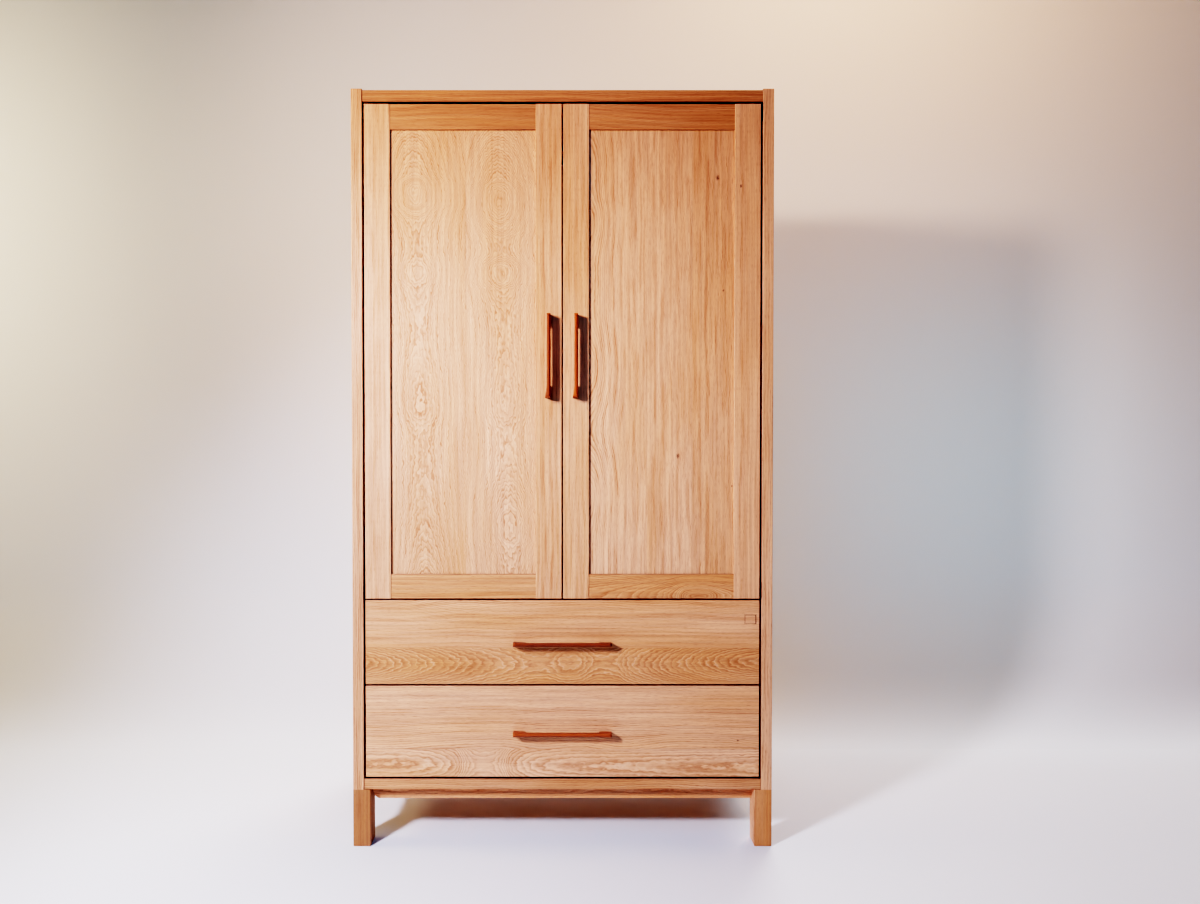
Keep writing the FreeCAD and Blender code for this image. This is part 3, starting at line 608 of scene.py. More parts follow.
@dataclass(frozen=True)
class Timber:
    """A timber finish: which way the grain runs, the boards it is glued from and their colours.

    Seams lie across the boards. Stave and start are the staves' width and the first one's edge. Face is
    where the visible face lies along the axis into it, plies is the thickness of a sheet's ply, and gaps
    are the ways that its surfaces face which get painted shade at the front, to darken the gaps.
    """

    name: str
    grain: Grain
    boards: tuple[Board, ...]
    seams: tuple[float, ...] = ()
    knots: tuple[Knot, ...] = ()
    patches: tuple[Patch, ...] = ()
    stave: float = 0.0
    start: float = 0.0
    face: float = 0.0
    tones: Tones = OAK
    plies: float = 0.0
    gaps: tuple[Facing, ...] = ()

    def make(self, craft: Timbercraft) -> bpy.types.Material:
        """Wires the finish out of the timbers' groups and gives its material."""
        return TimberWork(self, craft).build()


@dataclass
class TimberWork:
    """A timber finish while it is wired, with the limits and strengths that all timbers share.

    In the gaps, the painted shade fades out over its depth span, which is measured from the backs of the
    doors' stiles.
    """

    finish: Timber
    craft: Timbercraft
    end_grain: Span = (0.75, 0.97)
    seam: Span = (0.0002, 0.0008)
    seam_shade: float = 0.82
    stave_amber: float = 0.5
    stave_shade: float = -0.07
    glue_shade: float = 0.8
    # Painted shade in the gaps: how deep it reaches, which facing it takes and how dark it is.
    painted_shade_depth: Span = (-0.0005, 0.0095)
    painted_shade_facing: Span = (0.55, 0.85)
    painted_gap_shade: float = 0.2
    ply_edge: Span = (0.5, 0.8)
    ply_line: Span = (0.4, 0.6)
    relief: Span = (0.35, 0.0003)

    def __post_init__(self) -> None:
        """Starts the material and finds the place on the board and the way that its surface faces."""
        self.made = Material(self.finish.name)
        self.wiring = self.made.wiring
        turned = self.turned(self.made.space["Object"])
        self.place = self.wiring.vector("SUBTRACT", turned, (0.0, self.finish.face, 0.0))
        self.across, self.into, self.along = self.wiring.split(self.place)
        self.facing = self.wiring.split(self.turned(self.made.space["Normal"]))

    def turned(self, vector: Socket) -> Socket:
        """Turns a vector so that its parts run across, into and along the board."""
        parts = dict(zip("XYZ", self.wiring.split(vector)))
        return self.wiring.join(*(parts[axis] for axis in self.finish.grain.value))

    def build(self) -> bpy.types.Material:
        """Wires the finish.

        Returns:
            Its material.
        """
        w, finish = self.wiring, self.finish
        dark, swell = self.knot_marks()
        marks, cloud, amber, shade = self.sawn(finish.boards[0], swell)
        for seam, board in zip(finish.seams, finish.boards[1:]):
            beyond = w.math("GREATER_THAN", self.across, seam)
            more = self.sawn(board, swell)
            marks = w.mix(beyond, marks, more[0])
            cloud, amber, shade = (w.between(beyond, *pair) for pair in zip((cloud, amber, shade), more[1:]))
            line = w.step(w.math("ABSOLUTE", w.less(self.across, seam)), *self.seam, self.seam_shade)
            shade = w.times(shade, line)
        end = w.step(w.math("ABSOLUTE", self.facing[2]), *self.end_grain)
        laid = self.craft.colour.place(w, labelled(finish.tones) | {
            "Marks": marks, "Cloud": cloud, "Amber": amber, "Shade": shade, "Dark": dark, "End": end})
        colour = self.plied(laid["Colour"]) if finish.plies else laid["Colour"]
        for facing in finish.gaps:
            colour = self.dimmed(colour, facing)
        relief = w.relief(laid["Height"], *self.relief)
        self.made.feed({"Base Color": colour, "Roughness": laid["Roughness"], "Normal": relief})
        return self.made.material

    def knot_marks(self) -> tuple[Value, Value]:
        """Puts the pin knots and set-in patches in.

        Returns:
            The dark eyes and lines, and how far the knots push the rings aside.
        """
        w, here = self.wiring, {"Place": self.place}
        dark = swell = 0.0
        for knot in self.finish.knots:
            each = self.craft.knot.place(w, labelled(knot) | here)
            dark = w.math("MAXIMUM", each["Dark"], dark)
            swell = w.plus(each["Swell"], swell)
        for patch in self.finish.patches:
            each = self.craft.patch.place(w, labelled(patch) | here)
            dark = w.math("MAXIMUM", each["Dark"], dark)
        return dark, swell

    def sawn(self, board: Board, swell: Value) -> tuple[Socket, Socket, Value, Value]:
        """Puts one board's rings in.

        Args:
            board: How the board was sawn.
            swell: How far knots push the rings aside.

        Returns:
            The marks, the cloudy tone, the amber and the shade.
        """
        w, finish = self.wiring, self.finish
        values = labelled(board) | {"Place": self.place, "Swell": swell}
        if finish.stave:
            staves = self.craft.staves.place(w, values | {"Width": finish.stave, "Start": finish.start})
            tone = w.sway(staves["Tone"], self.stave_shade, board.shade)
            values |= {
                "Place": staves["Place"], "Seed": staves["Seed"],
                "Amber": w.sway(staves["Tone"], self.stave_amber, board.amber),
                "Shade": w.times(tone, w.between(staves["Seam"], 1.0, self.glue_shade))}
        if board.arches:
            part = w.fill("MapRange", (self.along, *board.span, 0.0, 1.0))
            values["Depth"] = w.between(w.curve(part, board.arches), *board.reach)
        rings = self.craft.rings.place(w, values)
        return rings["Marks"], rings["Cloud"], values["Amber"], values["Shade"]

    def dimmed(self, colour: Socket, facing: Facing) -> Socket:
        """Paints shade on the front strip of the surfaces that face one way, so that the gaps look dark as if
        in shadow.

        Args:
            colour: The timber's colour.
            facing: The way that the surfaces with painted shade face.

        Returns:
            The colour with painted shade on those surfaces.
        """
        w, space = self.wiring, self.made.space
        back = far("left_door_hinge_stile", "Y")
        # Painted shade: the front strip of these faces is darkened to stand for the shade in the gaps between
        # parts.
        front = w.fall(w.split(space["Object"])[1], *(back + part for part in self.painted_shade_depth))
        faced = w.vector("DOT_PRODUCT", space["Normal"], facing.value)
        turned = w.times(w.step(faced, *self.painted_shade_facing), front)
        return w.mix(turned, colour, w.scaled(colour, self.painted_gap_shade))

    def plied(self, colour: Socket) -> Socket:
        """Shows the plies on a sheet's edges.

        Args:
            colour: The face veneer's colour.

        Returns:
            The colour with plies on the edges.
        """
        w, ply, colours = self.wiring, self.finish.plies, self.finish.tones
        edge = w.fall(w.math("ABSOLUTE", self.facing[1]), *self.ply_edge)
        stripe = w.step(w.math("PINGPONG", self.into, ply), *(ply * share for share in self.ply_line))
        return w.mix(edge, colour, w.mix(stripe, colours.pale, colours.ring))


@dataclass(frozen=True)
class Metal:
    """A metal finish: its colour, gloss and how it was worked.

    Its lines make the roughness uneven, and its blotches make it blotched times as uneven.
    """

    name: str
    colour: Colour
    brushing: Brushing
    roughness: float
    uneven: float = 0.12
    blotched: float = 2.0
    blotches: Waves = (60.0, 60.0, 60.0)
    tone: float = 0.96
    streak: float = 0.25
    relief: Span = (0.12, 0.00005)

    def make(self) -> bpy.types.Material:
        """Makes the material.

        Returns:
            The material.
        """
        made = Material(self.name)
        w, place = made.wiring, made.space["Object"]
        lines = w.noise(place, self.brushing.value, seed=1.0, detail=2.0)
        blotch = w.noise(place, self.blotches, seed=2.0, detail=2.0)
        dull = w.sway(blotch, self.uneven * self.blotched, self.roughness)
        made.feed({
            "Base Color": w.scaled(self.colour, w.sway(lines, self.streak, self.tone)),
            "Roughness": w.sway(lines, self.uneven, dull, clamp=True),
            "Metallic": 1.0,
            "Normal": w.relief(lines, *self.relief)})
        return made.material


@dataclass(frozen=True)
class Moulded:
    """A moulded plastic finish with a fine spark-eroded grain."""

    name: str
    colour: Colour
    roughness: float
    grain: Waves = (2400.0, 2400.0, 2400.0)
    flow: Waves = (45.0, 45.0, 45.0)
    cloudy: float = 0.12
    uneven: float = 0.15
    relief: Span = (0.2, 0.00004)

    def make(self) -> bpy.types.Material:
        """Makes the material.

        Returns:
            The material.
        """
        made = Material(self.name)
        w, place = made.wiring, made.space["Object"]
        grain = w.noise(place, self.grain, seed=1.0)
        flow = w.noise(place, self.flow, seed=2.0)
        made.feed({
            "Base Color": w.scaled(self.colour, w.sway(flow, self.cloudy, 1.0)),
            "Roughness": w.sway(grain, self.uneven, self.roughness),
            "Normal": w.relief(grain, *self.relief)})
        return made.material


@dataclass
class Assembly:
    """Dresses the wardrobe's own pieces and keeps the shared node groups."""

    craft: Timbercraft

    def dress(self, node: str, material: bpy.types.Material) -> None:
        """Gives one piece its material.

        Args:
            node: The piece's name.
            material: The material.
        """
        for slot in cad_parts[node].material_slots:
            slot.material = material
        log.info("%s dressed in %s", node, material.name)

    def plank(self, node: str, name: str, grain: Grain, *boards: Board, **more: object) -> None:
        """Gives one wooden piece its finish. The face is the piece's front where more doesn't say."""
        finish = Timber(name, grain, boards, **{"face": near(node, "Y")} | more)
        self.dress(node, finish.make(self.craft))


@dataclass
class Case(Assembly):
    """The sides, top, bottom and shelf, glued up from staves, and the veneered back.

    Sheet is the width of the back's veneers, and ply is a ply's thickness. The shelf's staves start at
    shelf_start along the depth, and the back's veneers at back_start along the width.
    """

    stave: float = 0.118
    shelf_start: float = -0.25
    sheet: float = 0.26
    back_start: float = -0.52
    ply: float = 0.0014

    def build(self) -> None:
        """Dresses the case."""
        glued = {"stave": self.stave, "start": near("left_side", "Y")}
        side = Board(heart=0.02, depth=0.07, ring=0.0032, bands=0.6, seed=3.0, amber=0.04, shade=1.12)
        # Painted shade at the front of the sides' inner faces, the top's underside and the bottom's upper
        # face, in the gaps round the doors and drawers.
        self.plank("left_side", "oak left side", Grain.UPRIGHT_SIDE, side, **glued,
                   face=near("left_side", "X"), gaps=(Facing.RIGHT,))
        side = replace(side, seed=8.4, amber=0.22, breaks=0.85, bands=0.3)
        self.plank("right_side", "oak right side", Grain.UPRIGHT_SIDE, side, **glued,
                   face=far("right_side", "X"), tones=replace(OAK, strength=0.5), gaps=(Facing.LEFT,))
        # The top and bottom are warmer and darker than the sides: partly the wood's own tone and partly
        # painted shade for the duller sheen of level grain in light from the side.
        top = Board(depth=0.09, ring=0.0034, bands=0.7, seed=5.2, amber=0.85, shade=0.82)
        self.plank("top_board", "oak top", Grain.ACROSS_LEVEL, top, **glued,
                   face=far("top_board", "Z"), gaps=(Facing.DOWN,))
        bottom = Board(ring=0.0034, bands=0.5, seed=6.1, amber=0.78, shade=0.91)
        self.plank("bottom_board", "oak bottom", Grain.ACROSS_LEVEL, bottom, **glued,
                   face=far("bottom_board", "Z"), gaps=(Facing.UP,))
        shelf = Board(depth=0.05, seed=7.7, amber=0.4)
        self.plank("fixed_shelf", "oak shelf", Grain.ACROSS_LEVEL, shelf, stave=self.stave,
                   start=self.shelf_start, face=far("fixed_shelf", "Z"))
        back = Board(depth=0.12, roll=0.06, ring=0.0045, seed=9.3, amber=0.4)
        self.plank("back_panel", "veneered back", Grain.UPRIGHT_FRONT, back, stave=self.sheet,
                   start=self.back_start, face=far("left_side", "Y"), tones=VENEER, plies=self.ply)


@dataclass
class LegFrame(Assembly):
    """The four legs and the aprons between them.

    The legs' shades and hearts run from the front left leg to the rear right one. The slip is how thick the
    paler strip at the right front leg's inner face is: painted light, standing for the light from the left
    that falls on that face. The rings of the side aprons are drawn as if their faces lay side_face to
    either side of the middle.
    """

    shades: tuple[float, ...] = (0.65, 0.98, 0.84, 0.84)
    hearts: tuple[float, ...] = (0.09, 0.04, -0.01, -0.06)
    slip: float = 0.001
    side_face: float = 0.5

    def build(self) -> None:
        """Dresses the leg frame."""
        names = ("front_left_leg", "front_right_leg", "rear_left_leg", "rear_right_leg")
        for number, name in enumerate(names):
            leg = Board(heart=self.hearts[number], depth=0.05, ring=0.0026, seed=11.0 + number, amber=0.85,
                        shade=self.shades[number], bands=0.7)
            boards, seams = (leg,), ()
            # Painted light: the right front leg's inner face gets a paler strip, standing for the light from
            # the left that falls on it.
            if name == "front_right_leg":
                boards, seams = (replace(leg, amber=0.0, shade=1.15), leg), (near(name, "X") + self.slip,)
            self.plank(name, name.replace("_", " "), Grain.UPRIGHT_FRONT, *boards, seams=seams)
        level = Board(heart=0.13, depth=0.02, ring=0.0024, seed=21.0, amber=0.65, shade=1.06, breaks=0.3)
        side = Board(heart=0.14, depth=0.03, ring=0.0025, seed=25.0, amber=0.8, shade=0.9)
        aprons = {
            "front_apron": (Grain.ACROSS_FRONT, level, near("front_apron", "Y")),
            "rear_apron": (Grain.ACROSS_FRONT, replace(level, seed=22.0), near("rear_left_leg", "Y")),
            "left_apron": (Grain.DEPTH_SIDE, side, -self.side_face),
            "right_apron": (Grain.DEPTH_SIDE, replace(side, seed=26.0), self.side_face),
        }
        for name, (grain, board, face) in aprons.items():
            self.plank(name, name.replace("_", " "), grain, board, face=face)


@dataclass
class Door(Assembly, ABC):
    """A framed door: two stiles, two rails, a panel and its pull.

    Hand is -1 for the left door and 1 for the right one.
    """

    side: Side
    hand: float
    seed: float
    hinge_bands: float
    meeting_amber: float
    pull_shade: float
    knots: tuple[Knot, ...]

    def node(self, part: str) -> str:
        """The name of one of the door's nodes."""
        return f"{self.side.value}_door_{part}"

    @abstractmethod
    def panel(self) -> None:
        """Dresses the panel."""

    def rails(self) -> tuple[Board, Board]:
        """How the rails were sawn.

        Returns:
            The top rail's board and the bottom rail's.
        """
        # The rails are warmer and darker than the stiles: partly the wood's own tone and partly painted shade
        # for the duller sheen of level grain in light from the side.
        top = Board(heart=1.93, depth=0.07, roll=0.03, waver=0.016, breaks=0.4, bands=0.6, seed=self.seed + 2,
                    amber=1.0, shade=0.81)
        return top, replace(top, heart=0.9, depth=0.05, seed=self.seed + 3, amber=0.66, shade=0.96)

    def build(self) -> None:
        """Dresses the door."""
        self.panel()
        stile = Board(heart=self.hand * 0.62, depth=0.05, roll=0.03, ring=0.0031, waver=0.01,
                      bands=self.hinge_bands, seed=self.seed, amber=0.14)
        meeting = replace(stile, heart=self.hand * 0.13, seed=self.seed + 1, amber=self.meeting_amber)
        top, bottom = self.rails()
        # Painted shade on the stiles' right-facing edges and on the rails' top and bottom edges, in the gaps.
        upright, level = {"gaps": (Facing.RIGHT,)}, {"gaps": (Facing.UP, Facing.DOWN)}
        parts = {
            "hinge_stile": (Grain.UPRIGHT_FRONT, stile, {"knots": self.knots} | upright),
            "meeting_stile": (Grain.UPRIGHT_FRONT, meeting, upright),
            "top_rail": (Grain.ACROSS_FRONT, top, level),
            "bottom_rail": (Grain.ACROSS_FRONT, bottom, level),
        }
        for part, (grain, board, more) in parts.items():
            name = f"oak {self.side.value} {part}".replace("_", " ")
            self.plank(self.node(part), name, grain, board, **more)
        pull = Board(heart=0.12, depth=0.1, ring=0.0019, jag=0.001, seed=self.seed + 4, amber=0.4,
                     shade=self.pull_shade)
        self.plank(self.node("handle"), f"{self.side.value} door pull", Grain.UPRIGHT_FRONT, pull, tones=PULL)


@dataclass
class LeftDoor(Door):
    """The left door, with cathedral figures in both boards of its panel."""

    side: Side = Side.LEFT
    hand: float = -1.0
    seed: float = 40.0
    hinge_bands: float = 0.6
    meeting_amber: float = 0.33
    pull_shade: float = 1.0
    knots: tuple[Knot, ...] = ()

    def panel(self) -> None:
        """Dresses the panel."""
        first = Board(
            heart=-0.326, lean=-0.0263, roll=0.0, span=(0.68, 1.81), reach=(0.015, 0.1), ring=0.0029,
            waver=0.009, jag=0.006, breaks=0.35, seed=31.0, amber=0.3,
            arches=((0.0, 0.17), (0.31, 0.57), (0.38, 0.46), (0.46, 0.5), (0.55, 0.57), (0.637, 0.5),
                    (0.679, 0.41), (0.726, 0.5), (0.77, 0.47), (0.81, 0.3), (0.85, 0.04), (0.89, 0.3),
                    (0.947, 0.5), (1.0, 0.75)))
        second = replace(
            first, heart=-0.111, lean=-0.0276, seed=32.0, amber=0.18,
            arches=((0.0, 0.42), (0.06, 0.34), (0.11, 0.23), (0.16, 0.33), (0.31, 0.57), (0.38, 0.47),
                    (0.46, 0.52), (0.55, 0.57), (0.637, 0.43), (0.679, 0.28), (0.726, 0.5), (0.77, 0.35),
                    (0.814, 0.1), (0.832, 0.05), (0.88, 0.3), (0.93, 0.5), (1.0, 0.83)))
        self.plank(self.node("panel"), "oak left panel", Grain.UPRIGHT_FRONT, first, second, seams=(-0.2426,))


@dataclass
class RightDoor(Door):
    """The right door, with a straight-grained panel of three boards."""

    side: Side = Side.RIGHT
    hand: float = 1.0
    seed: float = 50.0
    hinge_bands: float = 0.4
    meeting_amber: float = 0.28
    pull_shade: float = 1.2
    knots: tuple[Knot, ...] = (Knot(0.446, 1.659, 0.003),)

    def panel(self) -> None:
        """Dresses the panel."""
        first = Board(heart=0.06, depth=0.05, roll=0.05, waver=0.011, jag=0.0025, breaks=0.7, bands=0.42,
                      seed=33.0, amber=0.06)
        second = replace(first, heart=0.4, roll=0.04, seed=34.0, amber=0.12)
        third = replace(first, heart=0.5, depth=0.06, roll=0.03, seed=35.0, amber=0.3, shade=0.97)
        knots = (Knot(0.3885, 1.681, 0.0045), Knot(0.2905, 0.985, 0.0045), Knot(0.4036, 1.3995, 0.0022),
                 Knot(0.4263, 0.909, 0.0022))
        self.plank(self.node("panel"), "oak right panel", Grain.UPRIGHT_FRONT, first, second, third,
                   seams=(0.2127, 0.325), knots=knots)

    def rails(self) -> tuple[Board, Board]:
        """How the rails were sawn.

        Returns:
            The top rail's board and the bottom rail's, which has a cathedral figure.
        """
        top, bottom = super().rails()
        arches = ((0.0, 0.75), (0.3, 0.62), (0.55, 0.4), (0.75, 0.05), (0.9, 0.25), (1.0, 0.35))
        bottom = replace(bottom, heart=0.632, roll=0.0, arches=arches, span=(0.08, 0.43), reach=(0.0, 0.07),
                         waver=0.008, jag=0.003, amber=0.72)
        return replace(top, heart=1.95, lean=-0.07), bottom


@dataclass
class Drawer(Assembly, ABC):
    """A dovetailed drawer: its front, pull, box and runners.

    Sheet is the width of the bottom's veneers, which start at sheet_start along the depth, and ply is a
    ply's thickness.
    """

    row: Row
    seed: float
    pull_shade: float
    sheet: float = 0.3
    sheet_start: float = -0.25
    ply: float = 0.0012

    def node(self, part: str) -> str:
        """The name of one of the drawer's nodes."""
        return f"{self.row.value}_drawer_{part}"

    def span(self) -> Span:
        """Where the front starts and ends along its grain."""
        return near(self.node("front"), "X"), far(self.node("front"), "X")

    @abstractmethod
    def front(self) -> None:
        """Dresses the front."""

    def build(self) -> None:
        """Dresses the drawer."""
        self.front()
        pull = Board(heart=0.1, depth=0.1, ring=0.0019, jag=0.001, seed=self.seed, amber=0.45,
                     shade=self.pull_shade)
        self.plank(self.node("handle"), f"{self.row.value} drawer pull", Grain.ACROSS_FRONT, pull, tones=PULL)
        side = Board(heart=0.6, depth=0.05, roll=0.05, seed=self.seed + 1)
        veneer = Board(depth=0.1, roll=0.06, ring=0.005, seed=self.seed + 4)
        runner = Board(heart=0.4, depth=0.05, ring=0.0025, seed=self.seed + 5)
        sheet = {"stave": self.sheet, "start": self.sheet_start, "tones": VENEER, "plies": self.ply}
        parts = {
            "left_side": ("drawer left_side", Grain.DEPTH_SIDE, side, {}),
            "right_side": ("drawer right_side", Grain.DEPTH_SIDE, replace(side, seed=self.seed + 2), {}),
            "back": ("drawer back", Grain.ACROSS_FRONT, replace(side, seed=self.seed + 3), {}),
            "bottom": ("drawer ply", Grain.ACROSS_LEVEL, veneer, sheet),
            "runners": ("runners", Grain.DEPTH_SIDE, runner, {}),
        }
        for part, (name, grain, board, more) in parts.items():
            more = {"face": 0.0, "tones": BOX} | more
            self.plank(self.node(part), f"{self.row.value} {name}", grain, board, **more)


@dataclass
class UpperDrawer(Drawer):
    """The upper drawer, with a cathedral figure along the lower half of its front and a set-in patch."""

    row: Row = Row.UPPER
    seed: float = 70.0
    pull_shade: float = 0.66

    def front(self) -> None:
        """Dresses the front."""
        strip = Board(
            heart=0.4647, lean=0.004, roll=0.0, span=self.span(), reach=(0.015, 0.11), waver=0.009, jag=0.004,
            breaks=0.35, seed=61.0, amber=0.75, shade=0.92,
            arches=((0.0, 0.25), (0.12, 0.42), (0.25, 0.6), (0.36, 0.72), (0.45, 0.8), (0.52, 0.74),
                    (0.6, 0.84), (0.68, 0.72), (0.8, 0.5), (0.9, 0.32), (1.0, 0.2)))
        board = Board(heart=0.66, depth=0.05, roll=0.05, waver=0.012, breaks=0.4, seed=62.0, amber=0.48)
        # Painted shade on the front's top and bottom edges, in the gaps.
        self.plank(self.node("front"), "oak upper drawer front", Grain.ACROSS_FRONT, strip, board,
                   seams=(0.5016,), patches=(Patch(0.5743, 0.4727, 0.0105, 0.0137),),
                   gaps=(Facing.UP, Facing.DOWN))


@dataclass
class LowerDrawer(Drawer):
    """The lower drawer, with a cathedral figure along the foot of its front."""

    row: Row = Row.LOWER
    seed: float = 80.0
    pull_shade: float = 1.05

    def front(self) -> None:
        """Dresses the front."""
        low = Board(
            heart=0.205, lean=-0.01, roll=0.0, span=self.span(), waver=0.004, jag=0.003, breaks=0.4,
            seed=63.0, amber=0.28,
            arches=((0.0, 0.52), (0.15, 0.54), (0.22, 0.62), (0.3, 0.84), (0.38, 0.62), (0.46, 0.52),
                    (0.7, 0.49), (1.0, 0.44)))
        high = Board(heart=0.2, depth=0.09, roll=0.03, ring=0.0032, waver=0.014, breaks=0.45, seed=64.0)
        # Painted shade on the front's top and bottom edges, in the gaps.
        self.plank(self.node("front"), "oak lower drawer front", Grain.ACROSS_FRONT, low, high,
                   seams=(0.2455,), knots=(Knot(0.2677, 0.4424, 0.0024),), gaps=(Facing.UP, Facing.DOWN))


@dataclass
class Fittings(Assembly):
    """The hanging rail, pivots, catches, screws and dowels."""

    zinc: Colour = from_hex("C3C4C4")
    steel: Colour = from_hex("B9B8B4")
    brass: Colour = from_hex("D9B46A")
    bronze: Colour = from_hex("4A3C30")
    catch: Colour = from_hex("4A3A2E")

    def build(self) -> None:
        """Dresses the fittings."""
        satin = Metal("satin rail steel", self.steel, Brushing.ALONG_X, roughness=0.3)
        self.dress("hanging_rail", satin.make())
        plated = Metal("plated fitting steel", self.zinc, Brushing.PLATED, roughness=0.34)
        bronzed = Metal("bronzed pivot steel", self.bronze, Brushing.PLATED, roughness=0.45)
        turned = Metal("turned bush brass", self.brass, Brushing.TURNED, roughness=0.26)
        screw = Metal("plated screw steel", self.zinc, Brushing.PLATED, roughness=0.3, uneven=0.2)
        pairs = {"rail_socket": plated, "door_strike_plate": plated, "pivot_brackets": bronzed,
                 "door_pivot_bushes": turned}
        for part, finish in pairs.items():
            for side in Side:
                self.dress(f"{side.value}_{part}", finish.make())
        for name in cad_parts:
            if name.endswith("screws"):
                self.dress(name, screw.make())
        dowel = Board(heart=0.02, depth=0.08, seed=91.0)
        self.plank("dowels", "beech dowels", Grain.ACROSS_FRONT, dowel, face=0.0, tones=BEECH)
        self.dress("door_catches", Moulded("catch plastic", self.catch, roughness=0.45).make())


@dataclass(frozen=True)
class Lamp:
    """A studio lamp: a soft disc, or a spot with a soft edge where a cone is given in degrees.

    Light is its power in watts in red, green and blue.
    """

    name: str
    place: Point
    aim: Point
    light: Colour
    size: float
    cone: float = 0.0

    def hang(self) -> None:
        """Hangs the lamp and aims it."""
        data = bpy.data.lights.new(self.name, "SPOT" if self.cone else "AREA")
        data.energy = max(self.light)
        data.color = tuple(part / data.energy for part in self.light)
        if self.cone:
            data.spot_size, data.spot_blend, data.shadow_soft_size = math.radians(self.cone), 1.0, self.size
        else:
            data.shape, data.size = "DISK", self.size
        made = bpy.data.objects.new(self.name, data)
        made.location = self.place
        made.rotation_euler = (Vector(self.aim) - Vector(self.place)).to_track_quat("-Z", "Y").to_euler()
        made.visible_camera = False
        bpy.context.scene.collection.objects.link(made)
        log.info("%s hung", self.name)


@dataclass
class Studio:
    """A pale floor that turns up into a backdrop, a far surround, and the lights.

    For the camera alone, the floor and the backdrop fade into the surround far from the wardrobe, and
    the backdrop is clear at a grazing angle. From behind it is clear for the lights too. Sizes are in
    metres, and the fades are distances from the wardrobe and from the middle of the wall.
    """

    half_width: float = 9.0
    wall: float = 0.95
    cove: float = 0.5
    height: float = 5.0
    wall_reach: float = 2.75
    surround: float = 3.5
    surround_height: float = 10.0
    surround_sides: int = 64
    floor_fade: Span = (2.05, 2.9)
    wall_fade: Span = (2.6, 2.95)
    grazing: Span = (0.78, 0.98)
    steps: int = 16
    tone: Colour = from_hex("E6EAEC")
    tone_waves: Waves = (0.6, 0.6, 0.6)
    tone_drift: float = 0.05
    dull: float = 0.9
    sheen: float = 0.1
    far_tone: Colour = from_hex("E9E2DC")
    far_waves: Waves = (0.3, 0.3, 0.3)
    far_drift: float = 0.1
    glow: float = 0.66
    air: Colour = (0.012, 0.012, 0.012)
    lamps: tuple[Lamp, ...] = (
        Lamp("window_low", (-1.5, -2.05, 1.65), (-0.25, -0.27, 0.2), (335.0, 329.0, 402.0), 0.18, 82.0),
        Lamp("window_high", (-1.5, -2.05, 2.0), (-0.2, -0.27, 2.1), (293.0, 202.0, 154.0), 0.18, 78.0),
        Lamp("floor_wash", (0.0, -2.6, 3.4), (0.0, -1.2, 0.0), (2.0, 9.0, 19.0), 1.2),
        Lamp("wall_wash_left", (-2.9, -0.15, 2.0), (-1.3, 0.95, 1.3), (33.0, 25.0, 16.0), 1.0),
        Lamp("wall_wash_low", (1.5, 0.25, 1.0), (1.5, 0.95, 1.0), (1.0, 1.7, 2.0), 1.2),
        Lamp("wall_wash_right", (1.0, 0.0, 3.3), (1.7, 0.95, 1.9), (22.0, 11.5, 6.0), 1.0),
        Lamp("rear_soft", (1.8, 4.2, 2.8), (0.0, 0.3, 0.9), (212.0, 207.0, 220.0), 3.0),
    )

    def build(self) -> None:
        """Builds the floor, the backdrop, the surround and the lights."""
        self.stage_piece("studio_floor", self.floor(), self.paper())
        wall = self.stage_piece("studio_backdrop", self.backdrop(), self.paper(one_sided=True))
        wall.visible_shadow = False
        ring = self.stage_piece("studio_surround", self.ring(), self.haze())
        ring.visible_shadow = ring.visible_diffuse = ring.visible_glossy = ring.visible_transmission = False
        self.lights()

    def floor(self) -> bmesh.types.BMesh:
        """The flat floor.

        Returns:
            Its mesh.
        """
        bm = bmesh.new()
        bmesh.ops.create_grid(bm, x_segments=1, y_segments=1, size=self.half_width)
        return bm

    def backdrop(self) -> bmesh.types.BMesh:
        """The cove and the wall above it.

        Returns:
            Its mesh.
        """
        bm = bmesh.new()
        start = self.wall - self.cove
        ends = [bm.verts.new((side * self.wall_reach, start, 0.0)) for side in (-1.0, 1.0)]
        line = [*ends, bm.edges.new(ends)]
        turned = bmesh.ops.spin(bm, geom=line, cent=(0.0, start, self.cove), axis=(1.0, 0.0, 0.0),
                                dvec=(0.0, 0.0, 0.0), angle=math.pi / 2, steps=self.steps, use_merge=False)
        last = [each for each in turned["geom_last"] if isinstance(each, bmesh.types.BMEdge)]
        risen = bmesh.ops.extrude_edge_only(bm, edges=last)
        verts = [each for each in risen["geom"] if isinstance(each, bmesh.types.BMVert)]
        bmesh.ops.translate(bm, verts=verts, vec=(0.0, 0.0, self.height))
        bm.normal_update()
        if sum(face.normal.y for face in bm.faces) > 0:
            bmesh.ops.reverse_faces(bm, faces=bm.faces)
        return bm

    def ring(self) -> bmesh.types.BMesh:
        """The far surround, which only looks from other sides meet.

        Returns:
            Its mesh.
        """
        bm = bmesh.new()
        bmesh.ops.create_cone(bm, cap_ends=True, segments=self.surround_sides, radius1=self.surround,
                              radius2=self.surround, depth=self.surround_height)
        bmesh.ops.reverse_faces(bm, faces=bm.faces)
        return bm

    def stage_piece(self, name: str, bm: bmesh.types.BMesh, material: bpy.types.Material) -> bpy.types.Object:
        """Makes an object of the studio.

        Args:
            name: Its name.
            bm: Its mesh, which is used up.
            material: Its material.

        Returns:
            The object.
        """
        mesh = bpy.data.meshes.new(name)
        for face in bm.faces:
            face.smooth = True
        bm.to_mesh(mesh)
        bm.free()
        mesh.materials.append(material)
        made = bpy.data.objects.new(name, mesh)
        bpy.context.scene.collection.objects.link(made)
        log.info("%s built", name)
        return made

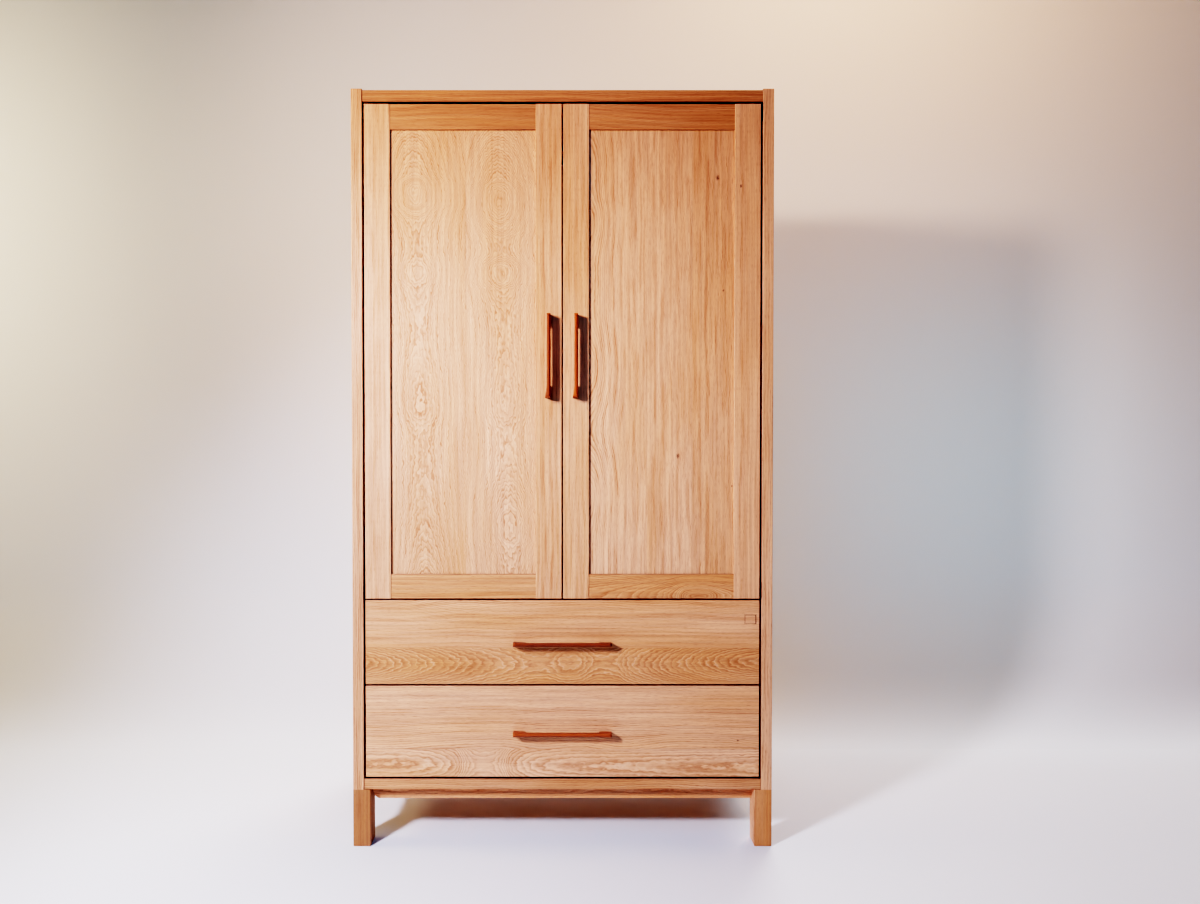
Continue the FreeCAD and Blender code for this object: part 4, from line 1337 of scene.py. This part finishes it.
    def haze(self) -> bpy.types.Material:
        """The pale tone of the surround, which drifts slowly and lights nothing.

        Returns:
            The material.
        """
        made = Material("surround paper")
        w = made.wiring
        tone = w.sway(w.noise(made.space["Object"], self.far_waves, seed=2.0), self.far_drift, self.glow)
        made.feed({"Base Color": BLACK, "Emission Color": w.scaled(self.far_tone, tone),
                   "Emission Strength": 1.0, "Specular IOR Level": 0.0})
        return made.material

    def paper(self, one_sided: bool = False) -> bpy.types.Material:
        """The pale matt paper of the floor and the backdrop.

        Args:
            one_sided: True gives the backdrop's paper, which is clear from behind.

        Returns:
            The material.
        """
        made = Material("backdrop paper" if one_sided else "floor paper")
        w, place = made.wiring, made.space["Object"]
        tone = w.sway(w.noise(place, self.tone_waves, seed=1.0, detail=2.0), self.tone_drift, 1.0)
        flat = w.vector("MULTIPLY", place, (1.0, 1.0, 0.0))
        reach = w.math("MAXIMUM", *(w.vector("DISTANCE", flat, (0.0, y, 0.0)) for y in (0.0, self.wall)))
        seen = w.add("LightPath").outputs["Is Camera Ray"]
        gone = w.times(w.step(reach, *(self.wall_fade if one_sided else self.floor_fade)), seen)
        made.feed({
            "Base Color": w.scaled(self.tone, w.times(tone, w.less(1.0, gone))),
            "Emission Color": w.scaled(self.far_tone, w.times(gone, self.glow)),
            "Emission Strength": 1.0,
            "Roughness": self.dull,
            "Specular IOR Level": self.sheen})
        if one_sided:
            grazed = w.times(w.step(w.add("LayerWeight").outputs["Facing"], *self.grazing), seen)
            clear = w.math("MAXIMUM", w.add("NewGeometry").outputs["Backfacing"], grazed)
            shaders = made.shader.outputs[0], w.add("BsdfTransparent").outputs[0]
            w.feed(made.output.inputs["Surface"], w.fill("MixShader", (clear, *shaders)))
        return made.material

    def lights(self) -> None:
        """Hangs the lamps and sets the soft light all round."""
        for lamp in self.lamps:
            lamp.hang()
        world = bpy.data.worlds.new("studio_air")
        world.use_nodes = True
        air = world.node_tree.nodes["Background"]
        air.inputs["Color"].default_value = (*self.air, 1.0)
        air.inputs["Strength"].default_value = 1.0
        bpy.context.scene.world = world


@dataclass
class Viewpoint:
    """The camera's place, tilt in degrees, sensor and lens in millimetres, and the picture's black."""

    place: Point = (0.0, -2.5745, 1.0316)
    tilt: float = 0.916
    sensor: float = 36.0
    lens: float = 27.558
    shift: float = 0.0313
    black: Colour = (0.032, 0.0275, 0.0232)

    def build(self) -> None:
        """Makes the camera and sets how the picture is developed."""
        data = bpy.data.cameras.new("photo_camera")
        data.sensor_fit = "HORIZONTAL"
        data.sensor_width, data.lens, data.shift_x = self.sensor, self.lens, self.shift
        camera = bpy.data.objects.new("photo_camera", data)
        camera.location = self.place
        camera.rotation_euler = (math.pi / 2 - math.radians(self.tilt), 0.0, 0.0)
        scene = bpy.context.scene
        scene.collection.objects.link(camera)
        scene.camera = camera
        scene.view_settings.view_transform = "Filmic"
        scene.view_settings.look = "Very High Contrast"
        scene.view_settings.exposure = 0.0
        scene.view_settings.use_curve_mapping = True
        scene.view_settings.curve_mapping.black_level = self.black
        log.info("camera set")


def main() -> None:
    """Dresses the wardrobe and sets up the studio."""
    logging.basicConfig(level=logging.INFO, format="%(message)s")
    Viewpoint().build()
    Studio().build()
    craft = Timbercraft()
    for assembly in (Case, LegFrame, LeftDoor, RightDoor, UpperDrawer, LowerDrawer, Fittings):
        assembly(craft).build()


if __name__ == "__main__":
    main()
